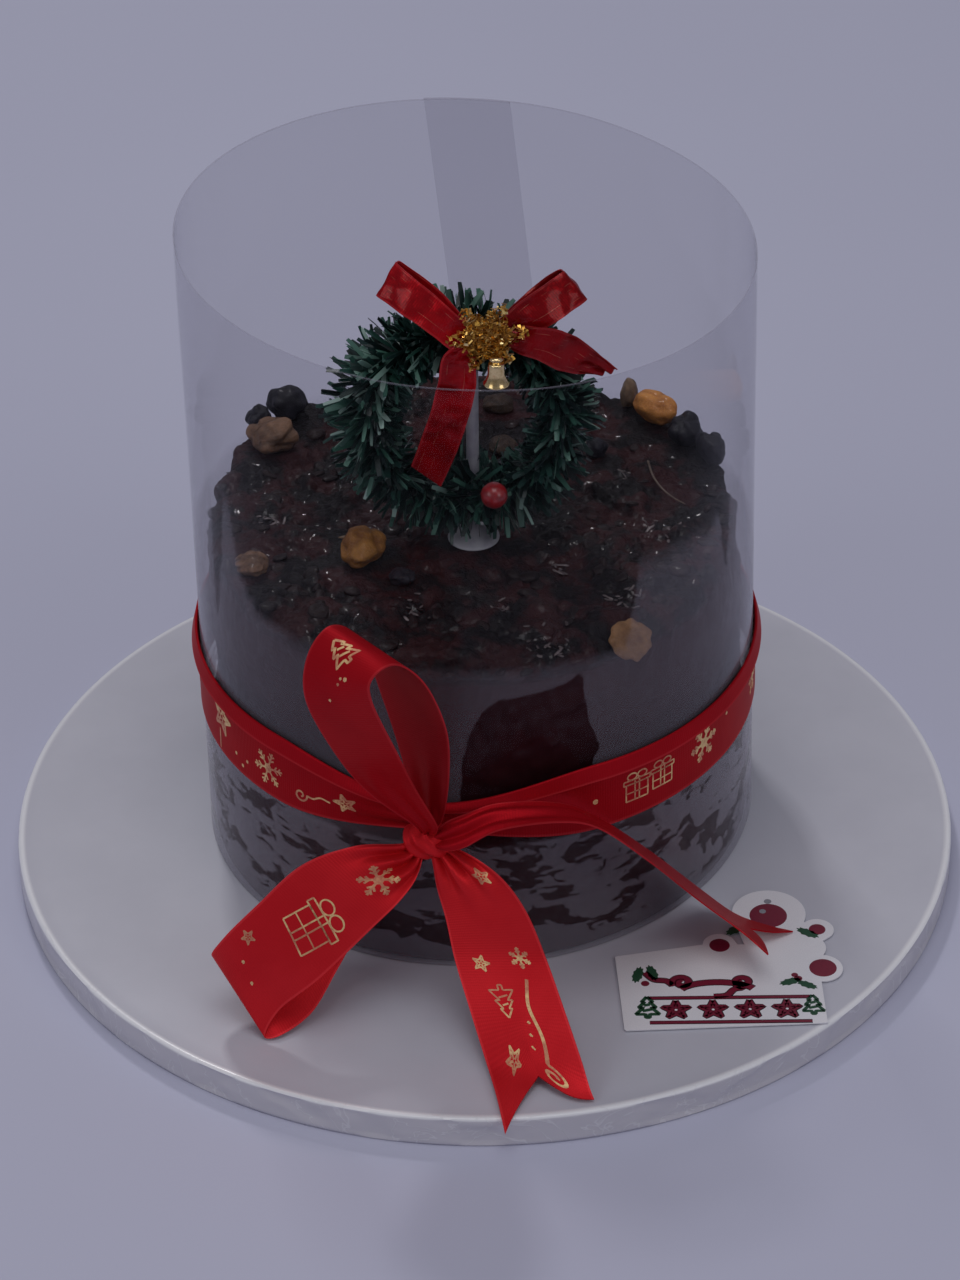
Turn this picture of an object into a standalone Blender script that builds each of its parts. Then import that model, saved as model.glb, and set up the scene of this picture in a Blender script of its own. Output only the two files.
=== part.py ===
"""A dark plum cake on its round board, inside a clear film sleeve that a printed ribbon ties in a bow.

Metres, +Z up. The origin is the middle of the board's underside, and the bow faces -Y.
Sizes are written in millimetres times MM. Lists of corner points are in plain millimetres.
"""
import math
import random

import bmesh
import bpy
from mathutils import Matrix, Vector, noise

MM = 0.001
GAP = 0.3 * MM                      # air left between two pieces that touch

# ---- the board -------------------------------------------------------------
BOARD_RADIUS = 128.3 * MM
BOARD_TOP = 9.0 * MM
BOARD_SIDES = 80
BOARD_ROUND = 1.0 * MM

# ---- the clear film sleeve --------------------------------------------------
SLEEVE_X = -0.6 * MM                # axis of the sleeve at the board
SLEEVE_Y = 8.2 * MM
SLEEVE_BASE = 75.0 * MM             # mean radius at the board
SLEEVE_RIM = 73.7 * MM              # mean radius at the top
SLEEVE_LEAN = (-3.0 * MM, 0.4 * MM)  # how far the rim's middle is off the axis
BASE_OVAL = (-0.007, 0.0235)        # cosine and sine share of the oval at the board
RIM_OVAL = (-0.001, -0.046)         # the same at the rim
FILM_BOTTOM = BOARD_TOP + GAP
FILM_TOP = 185.4 * MM
FILM_THICK = 0.3 * MM
FILM_SIDES = 72
SEAM_START = 80.0                   # degrees: where the inner end of the film stands, at the back
SEAM_OVERLAP = 18.0                 # degrees by which the outer end passes it
SEAM_RISE = 40.0                    # degrees over which the outer end comes clear of the inner one
SEAM_STEP = FILM_THICK + GAP
SEAM_FALL = 6.0                     # degrees over which the band comes back down past the outer end

# ---- the cake ---------------------------------------------------------------
CAKE_BOTTOM = BOARD_TOP + GAP
CAKE_TOP = 101.6 * MM
CAKE_X = -2.6 * MM                  # middle of the top, which leans with the sleeve
CAKE_Y = 8.4 * MM
CAKE_RADIUS = 70.2 * MM             # above the bulge
CAKE_ROUND = 4.8 * MM               # radius of the top edge
CAKE_CELLS = 36                     # cells across the top
CAKE_LEVELS = (84, 72, 60, 48, 36, 24, 14)   # heights of the rings down the side, mm
BULGE_TOP = 62.0 * MM               # below this the side swells out to the film
BULGE_FULL = 34.0 * MM              # and here it reaches it
FILM_CLEAR = 1.0 * MM               # between the cake and the middle of the film
SIDE_RELIEF = 0.8 * MM
LUMPS = 190
LUMP_SPREAD = 72.0                  # mm from the middle of the top
LUMP_RADIUS = (3.4, 6.2)            # mm
LUMP_HEIGHT = (1.2, 3.0)            # mm
BANKS = (                           # higher ground: x, y, radius, height in mm
    (-54, 50, 19, 3.2),
    (-30, -38, 14, 0.8),
)

# ---- the wreath on its stand -------------------------------------------------
WREATH_X = -3.9 * MM
WREATH_Y = -4.2 * MM
WREATH_Z = 140.0 * MM               # middle of the ring
RING_RADIUS = 24.6 * MM             # of the twisted wire inside the brush
BRUSH_RADIUS = 10.4 * MM
NEEDLE_TIPS = (1.6 * MM, 2.9 * MM)  # how far the bundled needle tips stand out
RING_STEPS = 38
BRUSH_STEPS = 9
STAND_X = -2.0 * MM
STAND_BASE = 101.9 * MM             # the flat seat of the foot on the cake
FOOT_RADIUS = 6.8 * MM
FOOT_RIM = 1.1 * MM
FOOT_SEAT = 11.0 * MM               # radius of the flat place for it on the cake
FOOT_DOME = 2.0 * MM
STEM_RADIUS = 1.65 * MM
STEM_TOP = 155.5 * MM
STAND_CLEAR = 0.35 * MM

# ---- fruit on the cake --------------------------------------------------------
# name: x, y and height of the seat, width, depth and height of the piece, turn in degrees, colour
FRUIT = {
    "golden_fruit_left": ((-56.6, 40.8, 102.9), (12.8, 10.8, 7.6), 10, "tan"),
    "golden_fruit_front": ((-30.8, -14.2, 102.2), (12.6, 11.6, 7.6), -15, "gold"),
    "golden_fruit_side": ((-59.4, -16.6, 101.2), (9.0, 8.6, 4.6), 35, "tan"),
    "apricot_right": ((48.4, 51.6, 101.8), (14.2, 9.8, 9.8), -48, "apricot"),
    "apricot_sliver": ((41.0, 60.6, 101.8), (5.2, 6.0, 9.6), 10, "apricot"),
    "fruit_behind_wreath": ((6.2, 37.6, 101.6), (8.4, 9.0, 4.6), 40, "brown"),
    "fruit_at_the_back": ((5.0, 59.8, 101.6), (8.6, 7.4, 4.8), 0, "brown"),
    "prune_left": ((-52.6, 54.6, 103.9), (11.0, 10.4, 9.4), 25, "prune"),
    "prune_left_edge": ((-60.2, 49.4, 102.9), (7.4, 6.8, 8.0), -20, "prune"),
    "prune_right": ((55.8, 41.8, 101.8), (10.2, 9.2, 9.0), 60, "prune"),
    "prune_edge": ((62.0, 32.2, 101.8), (7.6, 8.6, 9.0), 15, "prune"),
    "raisin_ball": ((31.4, 35.4, 102.0), (6.2, 6.0, 5.6), 0, "prune"),
    "raisin_front": ((-20.6, -23.6, 101.8), (7.2, 6.0, 3.8), -30, "prune"),
}
RING_FRUIT_AT = (37.2, -46.6, 98.0)     # the round slice on the front edge, in mm
RING_FRUIT_TILT = 40.0                  # degrees it leans outwards with the rounded edge
RING_FRUIT_SIZE = (11.0, 12.2, 3.6)
SEAT_MARGIN = 2.2                       # mm of flat seat round a piece
SEAT_BLEND = 4.5                        # mm over which the seat runs out
SEAT_DEPTH = 14.0                       # mm off its plane beyond which a seat moves nothing
SKIN_DEPTH = 1.0                        # mm by which the ground lies under the tops of the low lumps

# ---- the big ribbon ------------------------------------------------------------
RIBBON_THICK = 0.4 * MM
BAND_LOW = 49.0 * MM                # lower edge of the band round the sleeve
BAND_HIGH = 69.6 * MM               # upper edge, along which the ribbon is folded over
BAND_PINCH_LOW = 54.0 * MM          # the same edges where the knot gathers them
BAND_PINCH_HIGH = 62.4 * MM
BAND_PINCH_ANGLE = 34.0             # degrees each way over which the band gathers
BAND_SIDES = 72
BAND_SLACK = 0.1 * MM               # because the flat sides of band and film do not line up
KNOT_ANGLE = -99.8                  # degrees round the sleeve
KNOT_AT = (-14.6, -72.9, 55.5)      # mm
KNOT_HALF = (6.4, 4.6, 6.2)         # mm, half its width, depth and height
# Each loop and tail is a strip between two edges: pairs of left and right corner points, in mm.
UPPER_LOOP = (
    ((-18.5, -77.8, 64.4), (-12.0, -80.2, 65.2)),
    ((-28.8, -79.0, 75.0), (-17.1, -86.4, 81.6)),
    ((-36.6, -81.0, 88.4), (-21.1, -94.0, 98.0)),
    ((-43.8, -81.4, 106.0), (-27.1, -96.2, 115.9)),
    ((-43.1, -76.6, 116.3), (-26.7, -95.0, 122.2)),
    ((-37.4, -70.7, 120.8), (-20.9, -89.9, 122.4)),
    ((-30.5, -67.8, 114.2), (-14.2, -87.1, 114.3)),
    ((-24.9, -68.4, 96.0), (-9.3, -85.7, 99.5)),
    ((-20.7, -70.4, 80.1), (-8.8, -83.9, 84.2)),
    ((-17.6, -72.6, 64.6), (-10.4, -76.4, 65.4)),
)
LOWER_LOOP = (
    ((-22.4, -75.0, 55.6), (-17.6, -78.6, 47.6)),
    ((-33.8, -79.6, 58.6), (-21.9, -84.0, 44.4)),
    ((-46.6, -84.6, 56.6), (-29.2, -89.0, 39.4)),
    ((-57.8, -88.6, 47.4), (-42.6, -95.4, 28.6)),
    ((-66.6, -89.4, 37.6), (-53.0, -94.4, 17.8)),
    ((-70.4, -84.4, 27.6), (-57.1, -96.4, 10.4)),
    ((-65.4, -79.4, 24.4), (-52.8, -95.7, 10.2)),
    ((-57.4, -74.6, 28.0), (-45.1, -88.9, 12.0)),
    ((-49.6, -67.4, 34.6), (-38.7, -78.4, 17.4)),
    ((-41.0, -65.0, 40.6), (-33.0, -73.0, 25.4)),
    ((-31.0, -67.4, 46.4), (-25.6, -71.8, 37.4)),
    ((-23.0, -69.8, 50.4), (-18.4, -72.2, 46.6)),
)
FRONT_TAIL = (
    ((-13.2, -75.8, 49.4), (-4.2, -76.2, 53.2)),
    ((-12.2, -77.6, 42.8), (3.8, -81.6, 49.9)),
    ((-10.2, -81.2, 36.2), (10.2, -86.4, 42.5)),
    ((-8.0, -87.1, 27.3), (15.4, -92.5, 31.4)),
    ((-4.3, -96.5, 18.5), (19.6, -102.6, 23.6)),
    ((-0.2, -109.4, 11.4), (23.8, -113.4, 15.6)),
    ((2.2, -121.0, 10.4), (25.8, -119.4, 11.4)),
    ((4.2, -133.4, 8.9), (26.8, -122.0, 10.0)),
)
SIDE_TAIL = (
    ((-7.2, -73.0, 59.8), (-7.2, -77.6, 58.8)),
    ((3.5, -70.0, 64.6), (3.8, -81.0, 64.4)),
    ((19.3, -67.5, 62.4), (19.0, -82.6, 67.9)),
    ((29.7, -64.0, 54.6), (29.1, -81.3, 64.7)),
    ((43.0, -57.2, 38.5), (42.0, -78.0, 51.4)),
    ((57.0, -46.6, 17.3), (55.7, -67.9, 30.3)),
    ((66.3, -49.6, 11.2), (65.6, -71.1, 23.5)),
    ((74.8, -54.0, 10.6), (69.8, -75.5, 22.3)),
    ((81.3, -56.2, 10.3), (73.1, -77.7, 20.1)),
)
TAIL_LENGTH = 75.0                  # mm
TAIL_NOTCH = 15.0                   # mm, depth of the swallowtail cut in the front tail
SIDE_NOTCH = 9.0                    # mm, the same in the side tail

# ---- the small bow on the wreath ---------------------------------------------
BOW_THICK = 0.4 * MM
BOW_LEFT_LOOP = (
    ((-2.6, -17.4, 174.8), (-5.8, -17.4, 167.4)),
    ((-9.4, -15.6, 180.8), (-14.2, -17.2, 174.0)),
    ((-19.4, -9.4, 187.2), (-24.6, -10.4, 178.6)),
    ((-20.2, -7.0, 187.2), (-25.2, -8.0, 178.0)),
    ((-18.4, -5.4, 185.8), (-23.4, -6.4, 177.4)),
    ((-9.4, -10.8, 180.8), (-14.0, -13.9, 174.0)),
    ((-2.6, -15.8, 174.8), (-5.8, -16.2, 167.8)),
)
BOW_RIGHT_LOOP = (
    ((5.4, -16.8, 176.2), (8.8, -16.9, 169.4)),
    ((12.8, -14.6, 181.4), (18.6, -15.4, 174.0)),
    ((20.4, -9.4, 184.6), (26.0, -10.4, 176.6)),
    ((21.2, -7.0, 184.2), (26.8, -8.0, 176.4)),
    ((19.4, -5.4, 183.2), (24.8, -6.4, 175.4)),
    ((12.6, -10.8, 181.0), (18.0, -13.4, 173.8)),
    ((5.4, -15.8, 176.0), (8.8, -16.0, 169.4)),
)
BOW_LEFT_TAIL = (
    ((-8.8, -17.6, 166.6), (-0.8, -17.6, 164.0)),
    ((-10.6, -18.2, 158.0), (-0.9, -18.2, 157.2)),
    ((-12.6, -17.2, 149.4), (-3.0, -17.2, 147.4)),
    ((-15.4, -16.0, 139.6), (-5.8, -16.0, 137.0)),
    ((-17.8, -15.0, 131.6), (-8.4, -15.0, 129.8)),
)
BOW_RIGHT_TAIL = (
    ((11.6, -17.6, 174.0), (9.6, -17.6, 166.8)),
    ((19.6, -18.6, 174.0), (15.4, -18.6, 164.8)),
    ((26.6, -16.4, 168.6), (22.0, -16.4, 160.2)),
    ((34.8, -12.4, 160.8), (28.4, -12.4, 157.4)),
)
BOW_TAIL_POINT = 5.4                # mm by which a tail's slanting end runs on
STAR_AT = (2.1, -19.2, 172.4)       # mm
STAR_REACH = 10.6                   # mm, middle to arm tip
STAR_WAIST = 5.0                    # mm, middle to the notch between arms
STAR_THICK = 1.1 * MM
STAR_ARMS = 6
STAR_TURN = 7.0                     # degrees
BELL_AT = (4.2, -22.2, 160.7)       # mm, the middle of the mouth
BELL_HEIGHT = 8.0                   # mm
BELL_MOUTH = 3.35                   # mm, radius
BERRY_AT = (3.4, -19.0, 125.0)      # mm
BERRY_RADIUS = 3.5 * MM

# ---- the card ----------------------------------------------------------------
CARD_THICK = 0.4 * MM
CARD_CORNERS = ((35.4, -94.9), (87.9, -92.7), (87.4, -75.0), (84.0, -60.6), (57.0, -60.4), (33.9, -64.9))
CARD_MIDDLE = (71.0, -72.0)         # mm, from where the rim is measured
CARD_STEPS = 96                     # points round the rim
CARD_LOBES = (                      # round lobes of the cut-out at its top: x, y, radius in mm
    (61.6, -60.4, 4.4),
    (75.4, -47.6, 9.8),
    (87.8, -54.6, 4.4),
    (84.0, -62.0, 5.6),
    (88.0, -70.6, 5.4),
)


def clear_objects():
    """Empties the file of objects."""
    for old in list(bpy.data.objects):
        bpy.data.objects.remove(old, do_unlink=True)


def new_collection(name):
    made = bpy.data.collections.new(name)
    bpy.context.scene.collection.children.link(made)
    return made


def paint(name, colour, roughness, metallic=0.0, alpha=1.0):
    """A plain material of one colour."""
    made = bpy.data.materials.new(name)
    made.use_nodes = True
    shader = made.node_tree.nodes["Principled BSDF"]
    shader.inputs["Base Color"].default_value = (*colour, 1.0)
    shader.inputs["Roughness"].default_value = roughness
    shader.inputs["Metallic"].default_value = metallic
    shader.inputs["Alpha"].default_value = alpha
    made.diffuse_color = (*colour, alpha)
    return made


def add_piece(name, mesh, material, angle=35.0):
    """Puts a finished mesh in the collection as one named piece, shaded smooth up to the angle."""
    piece = bpy.data.objects.new(name, mesh)
    parts.objects.link(piece)
    mesh.materials.clear()
    mesh.materials.append(material)
    mesh.shade_smooth()
    mesh.set_sharp_from_angle(angle=math.radians(angle))
    return piece


def add_cutter(name, mesh):
    cutter = bpy.data.objects.new(name, mesh)
    cutters.objects.link(cutter)
    cutter.hide_render = True
    cutter.display_type = "WIRE"
    return cutter


def mesh_from(bm, name):
    """Turns a bmesh into a mesh whose faces point out."""
    bmesh.ops.recalc_face_normals(bm, faces=bm.faces)
    if bm.calc_volume(signed=True) < 0.0:
        bmesh.ops.reverse_faces(bm, faces=bm.faces)
    mesh = bpy.data.meshes.new(name)
    bm.to_mesh(mesh)
    bm.free()
    return mesh


def evaluated_mesh(source, name):
    """The mesh of an object with its modifiers applied; the object itself is removed."""
    graph = bpy.context.evaluated_depsgraph_get()
    mesh = bpy.data.meshes.new_from_object(source.evaluated_get(graph))
    mesh.transform(source.matrix_world)
    mesh.name = name
    bpy.data.objects.remove(source, do_unlink=True)
    bm = bmesh.new()
    bm.from_mesh(mesh)
    bmesh.ops.remove_doubles(bm, verts=bm.verts, dist=0.01 * MM)
    bmesh.ops.recalc_face_normals(bm, faces=bm.faces)
    bm.to_mesh(mesh)
    bm.free()
    return mesh


def smooth(share):
    """0 to 1 with a soft start and end."""
    share = min(max(share, 0.0), 1.0)
    return share * share * (3.0 - 2.0 * share)


def turned(name, profile, sides, centre):
    """A profile of radius and height, top to bottom at +X, screwed once round the upright axis."""
    mesh = bpy.data.meshes.new(name)
    mesh.from_pydata([(r, 0.0, z) for r, z in profile], [(i, i + 1) for i in range(len(profile) - 1)], [])
    rough = bpy.data.objects.new(name, mesh)
    parts.objects.link(rough)
    screw = rough.modifiers.new("turn", "SCREW")
    screw.steps = sides
    screw.render_steps = sides
    screw.use_merge_vertices = True
    screw.merge_threshold = 0.05 * MM
    rough.location = centre
    bpy.context.view_layer.update()
    return evaluated_mesh(rough, name)


def strip(name, stations, thick, rows, across, notch=0.0, slant=0.0):
    """A ribbon between two edges: smooth curves through the left and the right corner points.

    The notch, as a share of the length, cuts a swallowtail in the last end; the slant, in metres,
    lets the right corner of that end run on.
    """
    left = [Vector(pair[0]) * MM for pair in stations]
    right = [Vector(pair[1]) * MM for pair in stations]
    bm = bmesh.new()
    bmesh.ops.create_grid(bm, x_segments=rows, y_segments=across, size=0.5)
    last = curve_point(right, 1.0)
    end_way = (last - curve_point(right, 0.97)).normalized()
    for vert in bm.verts:
        along = vert.co.x + 0.5
        side = vert.co.y + 0.5
        late = smooth((along - 0.6) / 0.4)
        reach = along - notch * (1.0 - abs(2.0 * side - 1.0)) * late
        vert.co = curve_point(left, reach).lerp(curve_point(right, reach), side)
        vert.co += end_way * slant * side * late
    flat = bpy.data.meshes.new(name)
    bm.to_mesh(flat)
    bm.free()
    sheet = bpy.data.objects.new(name, flat)
    parts.objects.link(sheet)
    wall = sheet.modifiers.new("thickness", "SOLIDIFY")
    wall.thickness = thick
    wall.offset = 0.0
    wall.use_even_offset = False
    bpy.context.view_layer.update()
    return evaluated_mesh(sheet, name)


def curve_point(points, share):
    """A point of the Catmull-Rom curve through the points; 0 is its start and 1 its end."""
    spans = len(points) - 1
    place = min(max(share, 0.0), 1.0) * spans
    span = min(int(place), spans - 1)
    t = place - span
    p1 = points[span]
    p2 = points[span + 1]
    p0 = points[span - 1] if span else p1 * 2.0 - p2
    p3 = points[span + 2] if span + 2 <= spans else p2 * 2.0 - p1
    return 0.5 * (
        2.0 * p1
        + (p2 - p0) * t
        + (2.0 * p0 - 5.0 * p1 + 4.0 * p2 - p3) * t * t
        + (3.0 * p1 - p0 - 3.0 * p2 + p3) * t * t * t
    )


def oval(radius, shares, angle):
    """Radius of a slightly oval ring in one direction."""
    return radius * (1.0 + shares[0] * math.cos(2.0 * angle) + shares[1] * math.sin(2.0 * angle))


def sleeve_radius(angle, height):
    """Radius of the film's middle in one direction and at one height, from its leaning axis."""
    share = (height - FILM_BOTTOM) / (FILM_TOP - FILM_BOTTOM)
    return oval(SLEEVE_BASE, BASE_OVAL, angle) * (1.0 - share) + oval(SLEEVE_RIM, RIM_OVAL, angle) * share


def sleeve_point(angle, height, outwards=0.0):
    """A point of the film's middle, moved outwards."""
    share = (height - FILM_BOTTOM) / (FILM_TOP - FILM_BOTTOM)
    radius = sleeve_radius(angle, height) + outwards
    x = SLEEVE_X + SLEEVE_LEAN[0] * share + radius * math.cos(angle)
    y = SLEEVE_Y + SLEEVE_LEAN[1] * share + radius * math.sin(angle)
    return Vector((x, y, height))


def make_board():
    """A flat round board with slightly rounded edges."""
    bm = bmesh.new()
    bmesh.ops.create_cone(
        bm, cap_ends=True, segments=BOARD_SIDES, radius1=BOARD_RADIUS, radius2=BOARD_RADIUS, depth=BOARD_TOP
    )
    bmesh.ops.translate(bm, verts=bm.verts, vec=(0.0, 0.0, BOARD_TOP / 2.0))
    rims = [edge for edge in bm.edges if abs(edge.verts[0].co.z - edge.verts[1].co.z) < 0.1 * MM]
    bmesh.ops.bevel(bm, geom=rims, offset=BOARD_ROUND, segments=1, affect="EDGES")
    add_piece("board", mesh_from(bm, "board"), board_white)


def make_film():
    """The sleeve is one sheet, rolled until its ends overlap at the back."""
    bm = bmesh.new()
    bmesh.ops.create_grid(bm, x_segments=FILM_SIDES, y_segments=1, size=0.5)
    sweep = 360.0 + SEAM_OVERLAP
    for vert in bm.verts:
        turn = sweep * (vert.co.x + 0.5)
        height = FILM_BOTTOM + (FILM_TOP - FILM_BOTTOM) * (vert.co.y + 0.5)
        lift = SEAM_STEP * smooth((turn - 360.0 + SEAM_RISE) / SEAM_RISE)
        vert.co = sleeve_point(math.radians(SEAM_START + turn), height, lift)
    flat = bpy.data.meshes.new("film_sleeve")
    bm.to_mesh(flat)
    bm.free()
    sheet = bpy.data.objects.new("film_sleeve", flat)
    parts.objects.link(sheet)
    wall = sheet.modifiers.new("thickness", "SOLIDIFY")
    wall.thickness = FILM_THICK
    wall.offset = 0.0
    bpy.context.view_layer.update()
    add_piece("film_sleeve", evaluated_mesh(sheet, "film_sleeve"), clear_film)


def disc_from_square(x, y):
    """Maps a point of the square from -1 to 1 onto the unit disc, keeping areas even."""
    if x == 0.0 and y == 0.0:
        return 0.0, 0.0
    if abs(x) >= abs(y):
        radius, angle = x, math.pi / 4.0 * y / x
    else:
        radius, angle = y, math.pi / 2.0 - math.pi / 4.0 * x / y
    return radius * math.cos(angle), radius * math.sin(angle)


def seats():
    """The flat seat of each thing that stands on the cake: middle, direction out, radius in metres."""
    found = [(Vector((STAND_X, WREATH_Y, STAND_BASE)), Vector((0.0, 0.0, 1.0)), FOOT_SEAT)]
    for place, size, _, _ in FRUIT.values():
        radius = (max(size[0], size[1]) / 2.0 + SEAT_MARGIN) * MM
        found.append((Vector(place) * MM, Vector((0.0, 0.0, 1.0)), radius))
    radius = (RING_FRUIT_SIZE[0] / 2.0 + SEAT_MARGIN) * MM
    found.append((Vector(RING_FRUIT_AT) * MM, ring_fruit_frame().col[2].to_3d(), radius))
    return found


def ring_fruit_frame():
    """Turns the round slice so that it leans outwards on the cake's front edge."""
    outward = math.atan2(RING_FRUIT_AT[1] * MM - SLEEVE_Y, RING_FRUIT_AT[0] * MM - SLEEVE_X)
    tilt = Matrix.Rotation(math.radians(RING_FRUIT_TILT), 4, "Y")
    return Matrix.Rotation(outward, 4, "Z") @ tilt


def lump_field():
    """Seeded places, sizes and heights of the fruit and crumb lumps on the cake's top, in metres."""
    draw = random.Random(12)
    field = []
    while len(field) < LUMPS:
        x = draw.uniform(-LUMP_SPREAD, LUMP_SPREAD)
        y = draw.uniform(-LUMP_SPREAD, LUMP_SPREAD)
        if math.hypot(x, y) < LUMP_SPREAD:
            radius = draw.uniform(*LUMP_RADIUS)
            height = draw.uniform(*LUMP_HEIGHT)
            field.append((x * MM + CAKE_X, y * MM + CAKE_Y, radius * MM, height * MM))
    return field


def cake_side_radius(angle, height):
    """The side is upright, and its lower part swells until it lies against the film."""
    share = smooth((BULGE_TOP - height) / (BULGE_TOP - BULGE_FULL))
    against_film = sleeve_radius(angle, height) - FILM_CLEAR
    return CAKE_RADIUS * (1.0 - share) + against_film * share


def cake_relief(point, field):
    """Height of the lumps and banks over a place of the cake's top."""
    raised = 0.0
    for x, y, radius, height in field:
        away = math.hypot(point.x - x, point.y - y) / radius
        if away < 1.0:
            raised = max(raised, height * math.sqrt(1.0 - away * away))
    for x, y, radius, height in BANKS:
        away = math.hypot(point.x - x * MM, point.y - y * MM) / (radius * MM)
        raised += height * MM * smooth(1.0 - away)
    return raised


def press_seats(point, places):
    """Moves a point of the cake's skin onto the flat seats near it."""
    for middle, out, radius in places:
        offset = point - middle
        depth = offset.dot(out)
        across = (offset - out * depth).length
        weight = smooth((radius + SEAT_BLEND * MM - across) / (SEAT_BLEND * MM))
        if abs(depth) < SEAT_DEPTH * MM:
            point = point - out * depth * weight
    return point


def make_cake():
    """A square grid pressed into a disc, bent over the rounded edge, and its rim drawn down in rings."""
    field = lump_field()
    places = seats()
    flat = CAKE_RADIUS - CAKE_ROUND
    reach = flat + CAKE_ROUND * math.pi / 2.0
    bm = bmesh.new()
    bmesh.ops.create_grid(bm, x_segments=CAKE_CELLS, y_segments=CAKE_CELLS, size=1.0)
    rim = [edge for edge in bm.edges if edge.is_boundary]
    for vert in bm.verts:
        x, y = disc_from_square(vert.co.x, vert.co.y)
        angle = math.atan2(y, x)
        arc = reach * math.hypot(x, y)
        bend = max(arc - flat, 0.0) / CAKE_ROUND
        radius = min(arc, flat) + CAKE_ROUND * math.sin(bend)
        place = Vector((CAKE_X + radius * math.cos(angle), CAKE_Y + radius * math.sin(angle), 0.0))
        place.z = CAKE_TOP - CAKE_ROUND * (1.0 - math.cos(bend))
        out = Vector((math.cos(angle) * math.sin(bend), math.sin(angle) * math.sin(bend), math.cos(bend)))
        place += out * (cake_relief(place, field) * (0.35 + 0.65 * math.cos(bend)) - SKIN_DEPTH * MM)
        vert.co = press_seats(place, places)
    for level in CAKE_LEVELS + (CAKE_BOTTOM / MM,):
        grown = bmesh.ops.extrude_edge_only(bm, edges=rim)["geom"]
        rim = [item for item in grown if isinstance(item, bmesh.types.BMEdge)]
        for vert in [item for item in grown if isinstance(item, bmesh.types.BMVert)]:
            angle = math.atan2(vert.co.y - SLEEVE_Y, vert.co.x - SLEEVE_X)
            height = level * MM
            rough = noise.noise(Vector((math.cos(angle) * 5.0, math.sin(angle) * 5.0, level / 16.0)))
            free = 1.0 - smooth((BULGE_TOP - height) / (BULGE_TOP - BULGE_FULL))
            radius = cake_side_radius(angle, height) + SIDE_RELIEF * (rough * free - 0.3)
            centre = sleeve_point(0.0, height) - Vector((sleeve_radius(0.0, height), 0.0, 0.0))
            vert.co.x = centre.x + radius * math.cos(angle)
            vert.co.y = centre.y + radius * math.sin(angle)
            vert.co.z = height + (0.0 if level == CAKE_BOTTOM / MM else 1.2 * MM * rough)
    bmesh.ops.edgeloop_fill(bm, edges=rim)
    add_piece("cake", mesh_from(bm, "cake"), cake_dark, 60.0)


def fruit_lump(name, size, turn, frame, material, seed, flat_top=0.0):
    """An uneven rounded lump with a flat base, a gap above its seat."""
    bm = bmesh.new()
    bmesh.ops.create_icosphere(bm, subdivisions=2, radius=1.0)
    half = Vector(size) * MM / 2.0
    for vert in bm.verts:
        way = vert.co.normalized()
        uneven = 1.0 + 0.16 * noise.noise(way * 1.7 + Vector((seed * 3.1, 0.0, 0.0)))
        spot = Vector((way.x * half.x, way.y * half.y, way.z * half.z)) * uneven
        spot.z = spot.z + half.z * 0.85
        if flat_top:
            spot.z = min(spot.z, size[2] * MM * flat_top)
        spot.z = max(spot.z, GAP)
        vert.co = Matrix.Rotation(math.radians(turn), 3, "Z") @ spot
    bmesh.ops.transform(bm, matrix=frame, verts=bm.verts)
    add_piece(name, mesh_from(bm, name), material, 60.0)


def make_fruit():
    """Whole pieces of fruit as large as berries, each on its seat."""
    for seed, (name, (place, size, turn, colour)) in enumerate(FRUIT.items()):
        frame = Matrix.Translation(Vector(place) * MM)
        fruit_lump(name, size, turn, frame, fruit_paints[colour], seed)
    frame = Matrix.Translation(Vector(RING_FRUIT_AT) * MM) @ ring_fruit_frame()
    fruit_lump("round_fruit_slice", RING_FRUIT_SIZE, 0.0, frame, fruit_paints["tan"], 31, 0.8)


def stand_profile(extra, top):
    """Foot and stem of the stand, from the top down, grown by the given clearance."""
    base = STAND_BASE + GAP
    stem = STEM_RADIUS + extra
    return (
        (0.0, top + extra),
        (stem * 0.7, top + extra),
        (stem, top + extra - STEM_RADIUS * 0.4),
        (stem, base + FOOT_DOME + 1.6 * MM + extra),
        (stem + 1.2 * MM, base + FOOT_DOME + 0.3 * MM + extra),
        (FOOT_RADIUS * 0.72 + extra, base + FOOT_RIM + 0.6 * MM + extra),
        (FOOT_RADIUS + extra, base + FOOT_RIM * 0.6 + extra),
        (FOOT_RADIUS + extra, base - extra),
        (0.0, base - extra),
    )


def make_stand():
    centre = (STAND_X, WREATH_Y, 0.0)
    mesh = turned("wreath_stand", stand_profile(0.0, STEM_TOP), 20, centre)
    add_piece("wreath_stand", mesh, stand_white)


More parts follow.
